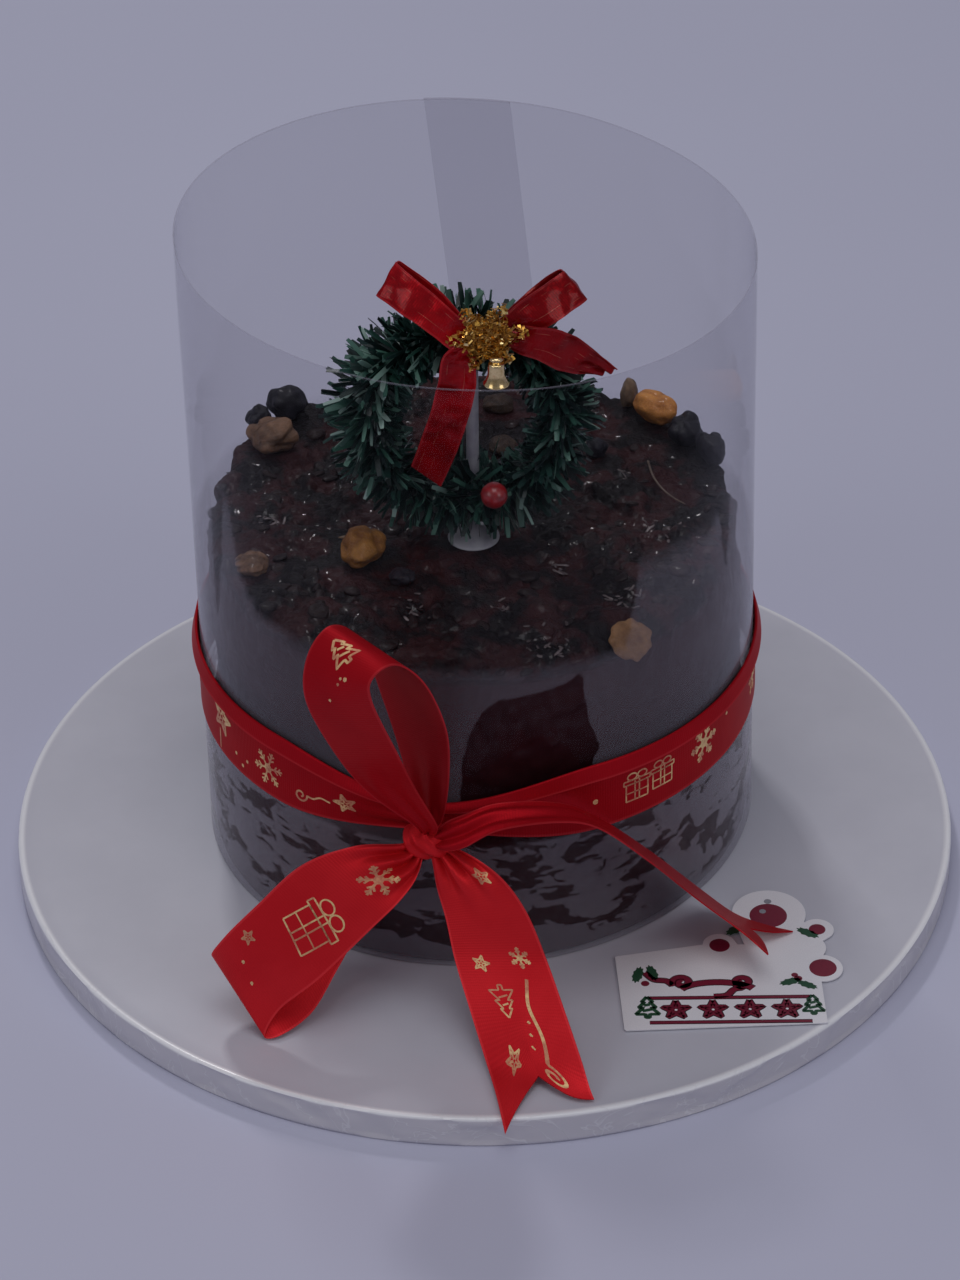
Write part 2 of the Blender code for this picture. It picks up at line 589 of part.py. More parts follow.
def make_wreath():
    """A ring of brush: every face of a torus is poked and its middle drawn out to a bundle of tips."""
    bpy.ops.mesh.primitive_torus_add(
        major_segments=RING_STEPS, minor_segments=BRUSH_STEPS, major_radius=RING_RADIUS,
        minor_radius=BRUSH_RADIUS, location=(0.0, 0.0, 0.0)
    )
    rough = bpy.context.object
    bm = bmesh.new()
    bm.from_mesh(rough.data)
    bpy.data.objects.remove(rough, do_unlink=True)
    draw = random.Random(5)
    for vert in bm.verts:
        core = Vector((vert.co.x, vert.co.y, 0.0)).normalized() * RING_RADIUS
        vert.co = core + (vert.co - core) * draw.uniform(0.92, 1.05)
    poked = bmesh.ops.poke(bm, faces=bm.faces)
    for vert in poked["verts"]:
        core = Vector((vert.co.x, vert.co.y, 0.0)).normalized() * RING_RADIUS
        out = (vert.co - core).normalized()
        vert.co += out * (BRUSH_RADIUS * 0.06 + draw.uniform(*NEEDLE_TIPS))
    upright = Matrix.Translation((WREATH_X, WREATH_Y, WREATH_Z)) @ Matrix.Rotation(math.pi / 2.0, 4, "X")
    bmesh.ops.transform(bm, matrix=upright, verts=bm.verts)
    ring = add_piece("wreath_tinsel", mesh_from(bm, "wreath_tinsel"), tinsel_green, 20.0)
    centre = (STAND_X, WREATH_Y, 0.0)
    cutter = add_cutter("stand_room", turned("stand_room", stand_profile(STAND_CLEAR, STEM_TOP), 16, centre))
    cut = ring.modifiers.new("room for the stand", "BOOLEAN")
    cut.operation = "DIFFERENCE"
    cut.object = cutter


def make_band():
    """The ribbon's turn round the sleeve, gathered towards the knot."""
    bm = bmesh.new()
    bmesh.ops.create_grid(bm, x_segments=BAND_SIDES, y_segments=1, size=0.5)
    ends = [vert for vert in bm.verts if abs(vert.co.x) > 0.499]
    outwards = FILM_THICK / 2.0 + GAP + BAND_SLACK + RIBBON_THICK / 2.0
    for vert in bm.verts:
        turn = 360.0 * (vert.co.x + 0.5)
        side = vert.co.y + 0.5
        away = min(turn, 360.0 - turn)
        pinch = 1.0 - smooth(away / BAND_PINCH_ANGLE)
        low = BAND_LOW + (BAND_PINCH_LOW - BAND_LOW) * pinch
        high = BAND_HIGH + (BAND_PINCH_HIGH - BAND_HIGH) * pinch
        angle = math.radians(KNOT_ANGLE + turn)
        over_seam = seam_lift(math.degrees(angle))
        vert.co = sleeve_point(angle, low + (high - low) * side, outwards + over_seam)
    bmesh.ops.remove_doubles(bm, verts=ends, dist=0.1 * MM)
    flat = bpy.data.meshes.new("ribbon_band")
    bm.to_mesh(flat)
    bm.free()
    sheet = bpy.data.objects.new("ribbon_band", flat)
    parts.objects.link(sheet)
    wall = sheet.modifiers.new("thickness", "SOLIDIFY")
    wall.thickness = RIBBON_THICK
    wall.offset = 0.0
    bpy.context.view_layer.update()
    add_piece("ribbon_band", evaluated_mesh(sheet, "ribbon_band"), ribbon_red)


def seam_lift(degrees):
    """How far the film's outer end stands out, in one direction round the sleeve."""
    turn = (degrees - SEAM_START) % 360.0
    rising = smooth((turn - 360.0 + SEAM_RISE) / SEAM_RISE)
    falling = 1.0 - smooth((turn - SEAM_OVERLAP) / SEAM_FALL) if turn < 180.0 else 0.0
    return SEAM_STEP * max(rising, falling)


def make_knot():
    """The knot: a squat lump with the turn of ribbon over it raised as a slanting ridge."""
    bm = bmesh.new()
    bmesh.ops.create_uvsphere(bm, u_segments=16, v_segments=10, radius=1.0)
    outward = Vector((math.cos(math.radians(KNOT_ANGLE)), math.sin(math.radians(KNOT_ANGLE)), 0.0))
    along = Vector((-outward.y, outward.x, 0.0))
    half = Vector(KNOT_HALF) * MM
    for vert in bm.verts:
        way = vert.co.normalized()
        cross = way.x * 0.72 + way.z * 0.69
        ridge = 1.0 - 0.16 * smooth(abs(cross) * 2.2 - 0.5) + 0.05 * math.sin(way.z * 9.0 + way.x * 5.0)
        spot = along * way.x * half.x + outward * -way.y * half.y + Vector((0.0, 0.0, way.z * half.z))
        vert.co = Vector(KNOT_AT) * MM + spot * ridge
    add_piece("ribbon_knot", mesh_from(bm, "ribbon_knot"), ribbon_red)


def make_big_bow():
    add_piece("ribbon_loop_upper", strip("ribbon_loop_upper", UPPER_LOOP, RIBBON_THICK, 27, 3), ribbon_red)
    add_piece("ribbon_loop_lower", strip("ribbon_loop_lower", LOWER_LOOP, RIBBON_THICK, 27, 3), ribbon_red)
    front = strip("ribbon_tail_front", FRONT_TAIL, RIBBON_THICK, 18, 4, TAIL_NOTCH / TAIL_LENGTH)
    add_piece("ribbon_tail_front", front, ribbon_red)
    side = strip("ribbon_tail_side", SIDE_TAIL, RIBBON_THICK, 22, 4, SIDE_NOTCH / TAIL_LENGTH)
    add_piece("ribbon_tail_side", side, ribbon_red)


def make_small_bow():
    slant = BOW_TAIL_POINT * MM
    for name, stations, rows, slanted in (
        ("bow_loop_left", BOW_LEFT_LOOP, 15, 0.0),
        ("bow_loop_right", BOW_RIGHT_LOOP, 15, 0.0),
        ("bow_tail_left", BOW_LEFT_TAIL, 10, slant),
        ("bow_tail_right", BOW_RIGHT_TAIL, 9, slant * 0.3),
    ):
        add_piece(name, strip(name, stations, BOW_THICK, rows, 2, 0.0, slanted), ribbon_red)


def flat_outline(name, points, thick, frame):
    """A closed flat outline given a thickness: a filled 2D curve, made a mesh."""
    curve = bpy.data.curves.new(name, "CURVE")
    curve.dimensions = "2D"
    curve.fill_mode = "BOTH"
    curve.extrude = thick / 2.0
    spline = curve.splines.new("POLY")
    spline.points.add(len(points) - 1)
    for point, (x, y) in zip(spline.points, points):
        point.co = (x * MM, y * MM, 0.0, 1.0)
    spline.use_cyclic_u = True
    rough = bpy.data.objects.new(name, curve)
    parts.objects.link(rough)
    rough.matrix_world = frame
    bpy.context.view_layer.update()
    return evaluated_mesh(rough, name)


def make_star():
    points = []
    for step in range(2 * STAR_ARMS):
        angle = math.radians(STAR_TURN) + math.pi * step / STAR_ARMS
        radius = STAR_WAIST if step % 2 else STAR_REACH
        points.append((radius * math.cos(angle), radius * math.sin(angle)))
    frame = Matrix.Translation(Vector(STAR_AT) * MM) @ Matrix.Rotation(math.pi / 2.0, 4, "X")
    add_piece("bow_star", flat_outline("bow_star", points, STAR_THICK, frame), glitter_gold)


def make_bell():
    """A small hollow bell, turned: outer wall down to the lip, and inner wall back up."""
    tall = BELL_HEIGHT
    mouth = BELL_MOUTH
    profile = (
        (0.0, tall), (1.5, tall), (1.9, tall - 0.6), (1.5, tall - 1.4), (1.9, tall - 2.0),
        (2.2, tall * 0.42), (mouth - 0.4, 0.9), (mouth, 0.0),
        (mouth - 0.6, 0.1), (1.6, tall * 0.4), (1.2, tall * 0.62), (0.0, tall * 0.66),
    )
    scaled = tuple((r * MM, z * MM) for r, z in profile)
    mesh = turned("bow_bell", scaled, 14, tuple(c * MM for c in BELL_AT))
    add_piece("bow_bell", mesh, bell_gold)


def make_berry():
    bm = bmesh.new()
    bmesh.ops.create_uvsphere(bm, u_segments=12, v_segments=8, radius=BERRY_RADIUS)
    bmesh.ops.translate(bm, verts=bm.verts, vec=Vector(BERRY_AT) * MM)
    add_piece("bow_berry", mesh_from(bm, "bow_berry"), berry_red)


def card_outline():
    """A plate of six corners whose top edge swells into round lobes: the rim of their union."""
    points = []
    for step in range(CARD_STEPS):
        angle = 2.0 * math.pi * step / CARD_STEPS
        way = (math.cos(angle), math.sin(angle))
        reach = ray_to_plate(CARD_MIDDLE, way)
        for x, y, radius in CARD_LOBES:
            reach = max(reach, ray_to_circle(CARD_MIDDLE, way, x, y, radius))
        points.append((CARD_MIDDLE[0] + way[0] * reach, CARD_MIDDLE[1] + way[1] * reach))
    return points


def ray_to_plate(middle, way):
    """Distance from the middle to the plate's edge in one direction."""
    nearest = 1000.0
    count = len(CARD_CORNERS)
    for index in range(count):
        ax, ay = CARD_CORNERS[index]
        bx, by = CARD_CORNERS[(index + 1) % count]
        dx, dy = bx - ax, by - ay
        cross = way[0] * dy - way[1] * dx
        if abs(cross) > 1e-9:
            far = ((ax - middle[0]) * dy - (ay - middle[1]) * dx) / cross
            share = ((ax - middle[0]) * way[1] - (ay - middle[1]) * way[0]) / cross
            if far > 0.0 and -1e-6 <= share <= 1.0 + 1e-6:
                nearest = min(nearest, far)
    return nearest


def ray_to_circle(middle, way, x, y, radius):
    """Distance from the middle to the far side of a lobe in one direction, or 0 past it."""
    dx, dy = x - middle[0], y - middle[1]
    along = dx * way[0] + dy * way[1]
    aside = dx * dx + dy * dy - along * along
    if along < 0.0 or aside > radius * radius:
        return 0.0
    return along + math.sqrt(radius * radius - aside)


def make_card():
    frame = Matrix.Translation((0.0, 0.0, BOARD_TOP + GAP + CARD_THICK / 2.0))
    add_piece("card", flat_outline("card", card_outline(), CARD_THICK, frame), card_white)


clear_objects()
parts = new_collection("christmas_cake")
cutters = new_collection("cutters")

board_white = paint("board white", (0.62, 0.62, 0.66), 0.45)
clear_film = paint("clear film", (0.8, 0.82, 0.85), 0.08, 0.0, 0.2)
cake_dark = paint("dark plum cake", (0.03, 0.016, 0.014), 0.38)
ribbon_red = paint("red satin ribbon", (0.42, 0.008, 0.015), 0.32)
tinsel_green = paint("green tinsel", (0.008, 0.06, 0.035), 0.35)
stand_white = paint("white plastic stand", (0.5, 0.5, 0.56), 0.4)
glitter_gold = paint("gold glitter", (0.6, 0.33, 0.06), 0.35, 0.8)
bell_gold = paint("gold plated bell", (0.75, 0.55, 0.22), 0.2, 1.0)
berry_red = paint("red berry", (0.4, 0.01, 0.02), 0.25)
card_white = paint("white card", (0.7, 0.7, 0.74), 0.4)
fruit_paints = {
    "gold": paint("golden fruit", (0.45, 0.2, 0.06), 0.35),
    "tan": paint("tan fruit", (0.36, 0.18, 0.08), 0.4),
    "apricot": paint("apricot", (0.55, 0.2, 0.05), 0.35),
    "brown": paint("brown fruit", (0.14, 0.07, 0.04), 0.4),
    "prune": paint("dark prune", (0.03, 0.028, 0.045), 0.3),
}

make_board()
make_film()
make_cake()
make_fruit()
make_stand()
make_wreath()
make_band()
make_knot()
make_big_bow()
make_small_bow()
make_star()
make_bell()
make_berry()
make_card()
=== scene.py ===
"""Looks of the plum cake in its clear sleeve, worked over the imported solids.

Every length here is in millimetres in the part's own frame, and put_mesh turns it into metres. The
first sizes are the ones the solids were made from, and the rest belong to the looks alone.
"""
import math
import random

import bpy
import numpy as np
from mathutils import Matrix, Vector


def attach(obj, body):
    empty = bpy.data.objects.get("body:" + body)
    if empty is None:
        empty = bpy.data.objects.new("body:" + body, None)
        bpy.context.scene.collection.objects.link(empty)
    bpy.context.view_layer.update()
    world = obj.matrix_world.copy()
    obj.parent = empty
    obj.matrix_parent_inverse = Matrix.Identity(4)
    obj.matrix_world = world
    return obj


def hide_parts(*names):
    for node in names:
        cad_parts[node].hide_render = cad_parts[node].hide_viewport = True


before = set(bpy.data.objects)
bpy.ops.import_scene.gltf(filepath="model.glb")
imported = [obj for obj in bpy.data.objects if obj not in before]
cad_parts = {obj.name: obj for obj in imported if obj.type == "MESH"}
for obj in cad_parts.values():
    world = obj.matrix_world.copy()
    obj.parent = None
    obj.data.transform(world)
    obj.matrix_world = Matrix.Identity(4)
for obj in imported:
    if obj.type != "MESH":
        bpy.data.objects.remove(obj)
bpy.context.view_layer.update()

MM = 0.001

# ---- sizes shared with the solids ----
GAP = 0.3
BOARD_TOP = 9.0
SLEEVE_X, SLEEVE_Y = -0.6, 8.2
SLEEVE_BASE, SLEEVE_RIM = 75.0, 73.7
SLEEVE_LEAN = (-3.0, 0.4)
BASE_OVAL = (-0.007, 0.0235)
RIM_OVAL = (-0.001, -0.046)
FILM_BOTTOM = BOARD_TOP + GAP
FILM_TOP = 185.4
FILM_THICK = 0.3
SEAM_START, SEAM_OVERLAP, SEAM_RISE, SEAM_FALL = 80.0, 18.0, 40.0, 6.0
SEAM_STEP = FILM_THICK + GAP
CAKE_BOTTOM = BOARD_TOP + GAP
CAKE_TOP = 101.6
CAKE_X, CAKE_Y = -2.6, 8.4
CAKE_RADIUS = 70.2
CAKE_ROUND = 4.8
BULGE_TOP, BULGE_FULL = 62.0, 34.0
FILM_CLEAR = 1.0
SIDE_RELIEF = 0.8
LUMPS = 190
LUMP_SPREAD = 72.0
LUMP_RADIUS = (3.4, 6.2)
LUMP_HEIGHT = (1.2, 3.0)
BANKS = ((-54, 50, 19, 3.2), (-30, -38, 14, 0.8))
SKIN_DEPTH = 1.0
WREATH = (-3.9, -4.2, 140.0)
RING_RADIUS = 24.6
BRUSH_RADIUS = 10.4
STAND_X, STAND_BASE = -2.0, 101.9
FOOT_RADIUS, FOOT_RIM, FOOT_DOME, FOOT_SEAT = 6.8, 1.1, 2.0, 11.0
STEM_RADIUS, STEM_TOP = 1.65, 155.5
FRUIT = {
    "golden_fruit_left": ((-56.2, 39.6, 103.2), (11.8, 13.4, 9.0), 34, "tan"),
    "golden_fruit_front": ((-30.8, -15.0, 102.8), (11.6, 14.6, 9.2), -15, "gold"),
    "golden_fruit_side": ((-59.4, -16.6, 101.2), (9.0, 9.6, 4.6), 35, "tan"),
    "apricot_right": ((48.4, 51.6, 101.8), (14.2, 9.8, 9.8), -48, "apricot"),
    "apricot_sliver": ((41.0, 60.6, 101.8), (5.2, 6.0, 9.6), 10, "pale"),
    "fruit_behind_wreath": ((6.2, 37.6, 101.6), (8.4, 9.0, 4.6), 40, "brown"),
    "fruit_at_the_back": ((5.0, 59.8, 101.6), (8.6, 7.4, 4.8), 0, "brown"),
    "prune_left": ((-52.6, 54.6, 103.9), (11.0, 10.4, 9.4), 25, "prune"),
    "prune_left_edge": ((-60.2, 49.4, 102.9), (7.4, 6.8, 8.0), -20, "prune"),
    "prune_right": ((55.8, 41.8, 101.8), (10.2, 9.2, 9.0), 60, "prune"),
    "prune_edge": ((62.0, 32.2, 101.8), (7.6, 8.6, 9.0), 15, "prune"),
    "raisin_ball": ((31.4, 35.4, 102.0), (6.2, 6.0, 5.6), 0, "prune"),
    "raisin_front": ((-20.6, -23.6, 101.8), (7.2, 6.0, 3.8), -30, "prune"),
}
SLICE_AT = (37.2, -46.6, 98.0)
SLICE_TILT = 40.0
SLICE_SIZE = (11.0, 12.2, 3.6)
SEAT_MARGIN, SEAT_BLEND, SEAT_DEPTH = 2.2, 4.5, 14.0
RIBBON_THICK = 0.4
BAND_LOW, BAND_HIGH = 49.0, 69.6
BAND_PINCH_LOW, BAND_PINCH_HIGH = 54.0, 62.4
BAND_PINCH_ANGLE = 34.0
BAND_SLACK = 0.1
KNOT_ANGLE = -99.8
KNOT_AT = (-14.6, -72.9, 55.5)
KNOT_HALF = (6.4, 4.6, 6.2)
UPPER_LOOP = (
    ((-18.5, -77.8, 64.4), (-12.0, -80.2, 65.2)),
    ((-28.8, -79.0, 75.0), (-17.1, -86.4, 81.6)),
    ((-36.6, -81.0, 88.4), (-21.1, -94.0, 98.0)),
    ((-43.8, -81.4, 106.0), (-27.1, -96.2, 115.9)),
    ((-43.1, -76.6, 116.3), (-26.7, -95.0, 122.2)),
    ((-37.4, -70.7, 120.8), (-20.9, -89.9, 122.4)),
    ((-30.5, -67.8, 114.2), (-14.2, -87.1, 114.3)),
    ((-24.9, -68.4, 96.0), (-9.3, -85.7, 99.5)),
    ((-20.7, -70.4, 80.1), (-8.8, -83.9, 84.2)),
    ((-17.6, -72.6, 64.6), (-10.4, -76.4, 65.4)),
)
LOWER_LOOP = (
    ((-22.4, -75.0, 55.6), (-17.6, -78.6, 47.6)),
    ((-33.8, -79.6, 58.6), (-21.9, -84.0, 44.4)),
    ((-46.6, -84.6, 56.6), (-29.2, -89.0, 39.4)),
    ((-57.8, -88.6, 47.4), (-42.6, -95.4, 28.6)),
    ((-66.6, -89.4, 37.6), (-53.0, -94.4, 17.8)),
    ((-70.4, -84.4, 27.6), (-57.1, -96.4, 10.4)),
    ((-65.4, -79.4, 24.4), (-52.8, -95.7, 10.2)),
    ((-57.4, -74.6, 28.0), (-45.1, -88.9, 12.0)),
    ((-49.6, -67.4, 34.6), (-38.7, -78.4, 17.4)),
    ((-41.0, -65.0, 40.6), (-33.0, -73.0, 25.4)),
    ((-31.0, -67.4, 46.4), (-25.6, -71.8, 37.4)),
    ((-23.0, -69.8, 50.4), (-18.4, -72.2, 46.6)),
)
FRONT_TAIL = (
    ((-13.2, -75.8, 49.4), (-4.2, -76.2, 53.2)),
    ((-12.2, -77.6, 42.8), (3.8, -81.6, 49.9)),
    ((-10.2, -81.2, 36.2), (10.2, -86.4, 42.5)),
    ((-8.0, -87.1, 27.3), (15.4, -92.5, 31.4)),
    ((-4.3, -96.5, 18.5), (19.6, -102.6, 23.6)),
    ((-0.2, -109.4, 11.4), (23.8, -113.4, 15.6)),
    ((2.2, -121.0, 10.4), (25.8, -119.4, 11.4)),
    ((4.2, -133.4, 8.9), (26.8, -122.0, 10.0)),
)
SIDE_TAIL = (
    ((3.5, -70.0, 64.6), (3.8, -81.0, 64.4)),
    ((19.3, -67.5, 62.4), (19.0, -82.6, 67.9)),
    ((29.7, -64.0, 54.6), (29.1, -81.3, 64.7)),
    ((43.0, -57.2, 38.5), (42.0, -78.0, 51.4)),
    ((57.0, -46.6, 17.3), (55.7, -67.9, 30.3)),
    ((66.3, -49.6, 11.2), (65.6, -71.1, 23.5)),
    ((74.8, -54.0, 10.6), (69.8, -75.5, 22.3)),
    ((81.3, -56.2, 10.3), (73.1, -77.7, 20.1)),
)
LOBE = (
    ((-13.4, -74.6, 58.4), (-13.2, -76.0, 55.6)),
    ((-10.2, -75.2, 62.4), (-9.8, -78.8, 56.2)),
    ((-5.8, -74.2, 64.0), (-5.2, -80.4, 58.6)),
)
TAIL_LENGTH, TAIL_NOTCH, SIDE_NOTCH = 75.0, 15.0, 11.5
BOW_LEFT_LOOP = (
    ((-2.6, -17.4, 174.8), (-5.8, -17.4, 167.4)),
    ((-9.4, -15.6, 180.8), (-14.2, -17.2, 174.0)),
    ((-19.4, -9.4, 187.2), (-24.6, -10.4, 178.6)),
    ((-20.2, -7.0, 187.2), (-25.2, -8.0, 178.0)),
    ((-18.4, -5.4, 185.8), (-23.4, -6.4, 177.4)),
    ((-9.4, -10.8, 180.8), (-14.0, -13.9, 174.0)),
    ((-2.6, -15.8, 174.8), (-5.8, -16.2, 167.8)),
)
BOW_RIGHT_LOOP = (
    ((5.4, -16.8, 176.2), (8.8, -16.9, 169.4)),
    ((12.8, -14.6, 181.4), (18.6, -15.4, 174.0)),
    ((20.4, -9.4, 184.6), (26.0, -10.4, 176.6)),
    ((21.2, -7.0, 184.2), (26.8, -8.0, 176.4)),
    ((19.4, -5.4, 183.2), (24.8, -6.4, 175.4)),
    ((12.6, -10.8, 181.0), (18.0, -13.4, 173.8)),
    ((5.4, -15.8, 176.0), (8.8, -16.0, 169.4)),
)
BOW_LEFT_TAIL = (
    ((-8.8, -17.6, 166.6), (-0.8, -17.6, 164.0)),
    ((-10.6, -18.2, 158.0), (-0.9, -18.2, 157.2)),
    ((-12.6, -17.2, 149.4), (-3.0, -17.2, 147.4)),
    ((-15.4, -16.0, 139.6), (-5.8, -16.0, 137.0)),
    ((-17.8, -15.0, 131.6), (-8.4, -15.0, 129.8)),
)
BOW_RIGHT_TAIL = (
    ((11.6, -17.6, 174.0), (9.6, -17.6, 166.8)),
    ((19.6, -18.6, 174.0), (15.4, -18.6, 164.8)),
    ((26.6, -16.4, 168.6), (22.0, -16.4, 160.2)),
    ((34.9, -12.4, 158.2), (29.4, -12.4, 157.0)),
)
BOW_TAIL_POINT = 5.4
STAR_AT = (2.1, -19.2, 172.4)
STAR_REACH, STAR_WAIST, STAR_THICK = 10.6, 5.0, 1.1
STAR_ARMS, STAR_TURN = 6, 7.0
BELL_AT = (4.2, -22.2, 160.7)
BELL_HEIGHT, BELL_MOUTH = 8.0, 3.35
BERRY_AT, BERRY_RADIUS = (3.4, -19.0, 125.0), 3.5
CARD_THICK = 0.4
CARD_CORNERS = (
    (35.4, -94.9), (87.9, -92.7), (87.4, -75.0), (84.0, -60.6), (57.0, -60.4), (33.9, -64.9),
)
CARD_MIDDLE = (71.0, -72.0)
CARD_LOBES = (
    (61.6, -60.4, 4.4), (75.4, -47.6, 9.8), (87.8, -54.6, 4.4), (84.0, -62.0, 5.6),
    (88.0, -70.6, 5.4),
)
BIG_RIBBON_WIDTH, SMALL_RIBBON_WIDTH = 25.0, 10.0

# ---- sizes and places of the looks alone ----
# Outlines kept clear of the film's painted reflection, and the upper line of that pale veil, on the
# unrolled film: from the front leftwards (negative) or rightwards, in millimetres for the outlines
# and in degrees for the line, and the height.
WINE_PATCH = (
    (-3.0, 48.0), (-4.6, 60.0), (-4.4, 73.0), (-2.2, 83.0), (1.8, 91.0), (6.1, 94.3),
    (11.9, 95.2), (18.1, 95.7), (23.4, 96.6), (27.7, 99.8), (28.3, 90.7), (29.6, 82.8),
    (32.3, 75.3), (30.4, 69.4), (31.4, 64.4), (28.6, 58.0), (28.0, 48.0),
)
LEFT_WEDGE = ((-87.0, 132.0), (-78.6, 132.0), (-81.0, 111.0), (-85.0, 87.0), (-86.5, 100.0))
RIGHT_WEDGE = (
    (69.0, 143.0), (78.5, 141.0), (79.5, 123.0), (78.4, 104.0), (74.6, 124.0), (71.5, 132.0),
)
CLEAR_PLACES = (WINE_PATCH, LEFT_WEDGE, RIGHT_WEDGE)
REFLECTION_VEIL_TOP = (
    (-180.0, 100.0), (-75.0, 100.0), (-66.0, 134.0), (-58.5, 132.0), (-54.4, 113.3),
    (-47.7, 104.5), (-39.0, 103.0), (-19.0, 104.0), (0.0, 104.5), (21.0, 103.5), (31.0, 106.0),
    (33.6, 129.0), (45.0, 128.0), (53.0, 127.0), (58.0, 131.0), (66.0, 134.0), (75.0, 100.0),
    (180.0, 100.0),
)
# The stalk's middle line, and the wet spots on the cake: x, y and radius.
STALK = (
    (45.0, 30.2, 103.2), (46.0, 20.6, 104.6), (48.1, 13.9, 105.0), (50.9, 10.4, 104.4),
    (54.0, 9.0, 103.2),
)
WET_SPOTS = (
    (-57.1, 5.6, 5.0), (20.3, -17.6, 4.0), (46.2, -0.8, 6.5), (5.3, -36.9, 4.5), (16.1, -50.4, 9.0),
    (36.7, -33.5, 6.0), (-17.0, -35.6, 5.5), (38.4, 25.4, 2.4),
)
# Each kind of fruit: its material's name, dark and bright colours, roughness, clearness and glaze,
# then how deep it is wrinkled and how many folds it has.
FRUIT_KINDS = {
    "gold": (
        "golden sultana", (0.13, 0.042, 0.009), (0.37, 0.17, 0.038), 0.44, 0.10, 0.12, 0.09, 1.0,
    ),
    "tan": (
        "tan sultana", (0.066, 0.034, 0.020), (0.27, 0.150, 0.090), 0.44, 0.08, 0.12, 0.10, 1.1,
    ),
    "apricot": (
        "apricot", (0.42, 0.15, 0.035), (0.80, 0.35, 0.09), 0.42, 0.12, 0.15, 0.06, 0.8,
    ),
    "pale": (
        "pale fruit", (0.12, 0.08, 0.055), (0.30, 0.20, 0.13), 0.42, 0.12, 0.15, 0.05, 0.8,
    ),
    "brown": (
        "brown fruit", (0.018, 0.011, 0.008), (0.060, 0.034, 0.022), 0.5, 0.0, 0.10, 0.09, 1.1,
    ),
    "prune": (
        "prune", (0.005, 0.0045, 0.008), (0.019, 0.018, 0.028), 0.46, 0.0, 0.14, 0.09, 1.0,
    ),
}
SULTANA_STEM_AT, SULTANA_STEM_HALF = (-34.6, -11.0, 107.2), (2.7, 0.6, 0.5)
BAND_THICK, NARROW_THICK = 0.3, 0.3
BAND_FLAP = 5.0                            # how much of the ribbon's width is turned over
FOIL_SUNK, FOIL_THICK = 0.03, 0.09

TURN = 2.0 * math.pi
UP, BACK = np.array((0.0, 0.0, 1.0)), np.array((0.0, 1.0, 0.0))
TO_FRONT = np.array((0.0, -0.82, 0.57))    # from the cake towards where it is looked at
SQUARE = ((-1, -1), (1, -1), (1, 1), (-1, 1))
SEAMLESS = 180.0                           # no edge turns by more, so that a piece is all smooth


# ---- small sums on whole arrays ----
def smooth(share):
    """0 to 1 with a soft start and end: three times the square less twice the cube."""
    share = np.clip(share, 0.0, 1.0)
    return share * share * (3.0 - 2.0 * share)


def hump(place, middle, width):
    """A soft rise to 1 round a place: e to minus the square of the distance to it in widths."""
    return np.exp(-((place - middle) / width) ** 2)


def unit(vectors):
    """Each vector divided by its length."""
    return vectors / np.maximum(np.linalg.norm(vectors, axis=-1, keepdims=True), 1e-9)


def points_from(*parts):
    """Points from their coordinates: the arrays spread to one shape and stacked on a last axis."""
    return np.stack(np.broadcast_arrays(*parts), axis=-1)


def round_angles(count):
    """Even directions once round, in radians."""
    return np.linspace(0.0, TURN, count, endpoint=False)


def round_points(radius, angle, height):
    """Points at a radius, a direction and a height about the upright line."""
    return points_from(radius * np.cos(angle), radius * np.sin(angle), height)


def hashed(cells, seed):
    """A number from 0 to 1 for each whole place: its coordinates times large odd numbers, mixed by
    shifts."""
    cells = cells.astype(np.int64)
    mixed = cells[..., 0] * 374761393 + cells[..., 1] * 668265263 + cells[..., 2] * 974634777
    mixed = mixed + seed * 83492791
    mixed = (mixed ^ (mixed >> 13)) & 0x7FFFFFFF
    mixed = (mixed * 1274126177) & 0x7FFFFFFF
    mixed = (mixed ^ (mixed >> 16)) & 0x7FFFFFFF
    return (mixed % 65521) / 65521.0


def cloud(points, size, seed, octaves=1):
    """Soft noise from -1 to 1: hashed corner values of a lattice blended by soft steps, and again
    at half the size and strength for each octave."""
    total = np.zeros(points.shape[:-1])
    for octave in range(octaves):
        place = points / size * 2.0 ** octave + 17.3 * octave
        base = np.floor(place)
        part = smooth(place - base)
        blend = np.zeros(points.shape[:-1])
        for corner in np.ndindex(2, 2, 2):
            share = np.prod(np.where(corner, part, 1.0 - part), axis=-1)
            blend += share * hashed(base + corner, seed + octave)
        total += (2.0 * blend - 1.0) * 0.5 ** octave
    return total


def cloud_shift(points, size, seed, octaves=1):
    """Three clouds, one for each coordinate, as an uneven shift of the points."""
    return np.stack([cloud(points, size, seed + k, octaves) for k in range(3)], axis=-1)


def cells(points, size, seed):
    """Distance to the nearest and to the next seeded point, one point to a lattice cell, and the
    nearest one's own number."""
    place = points / size
    base = np.floor(place)
    near = np.full(points.shape[:-1], 9.0)
    far = near.copy()
    own = np.zeros(points.shape[:-1])
    for step in np.ndindex(3, 3, 3):
        cell = base + np.array(step) - 1.0
        spot = cell + np.stack([hashed(cell, seed + k) for k in range(3)], axis=-1)
        away = np.linalg.norm(place - spot, axis=-1)
        closer = away < near
        far = np.where(closer, near, np.minimum(far, away))
        own = np.where(closer, hashed(cell, seed + 7), own)
        near = np.where(closer, away, near)
    return near, far, own


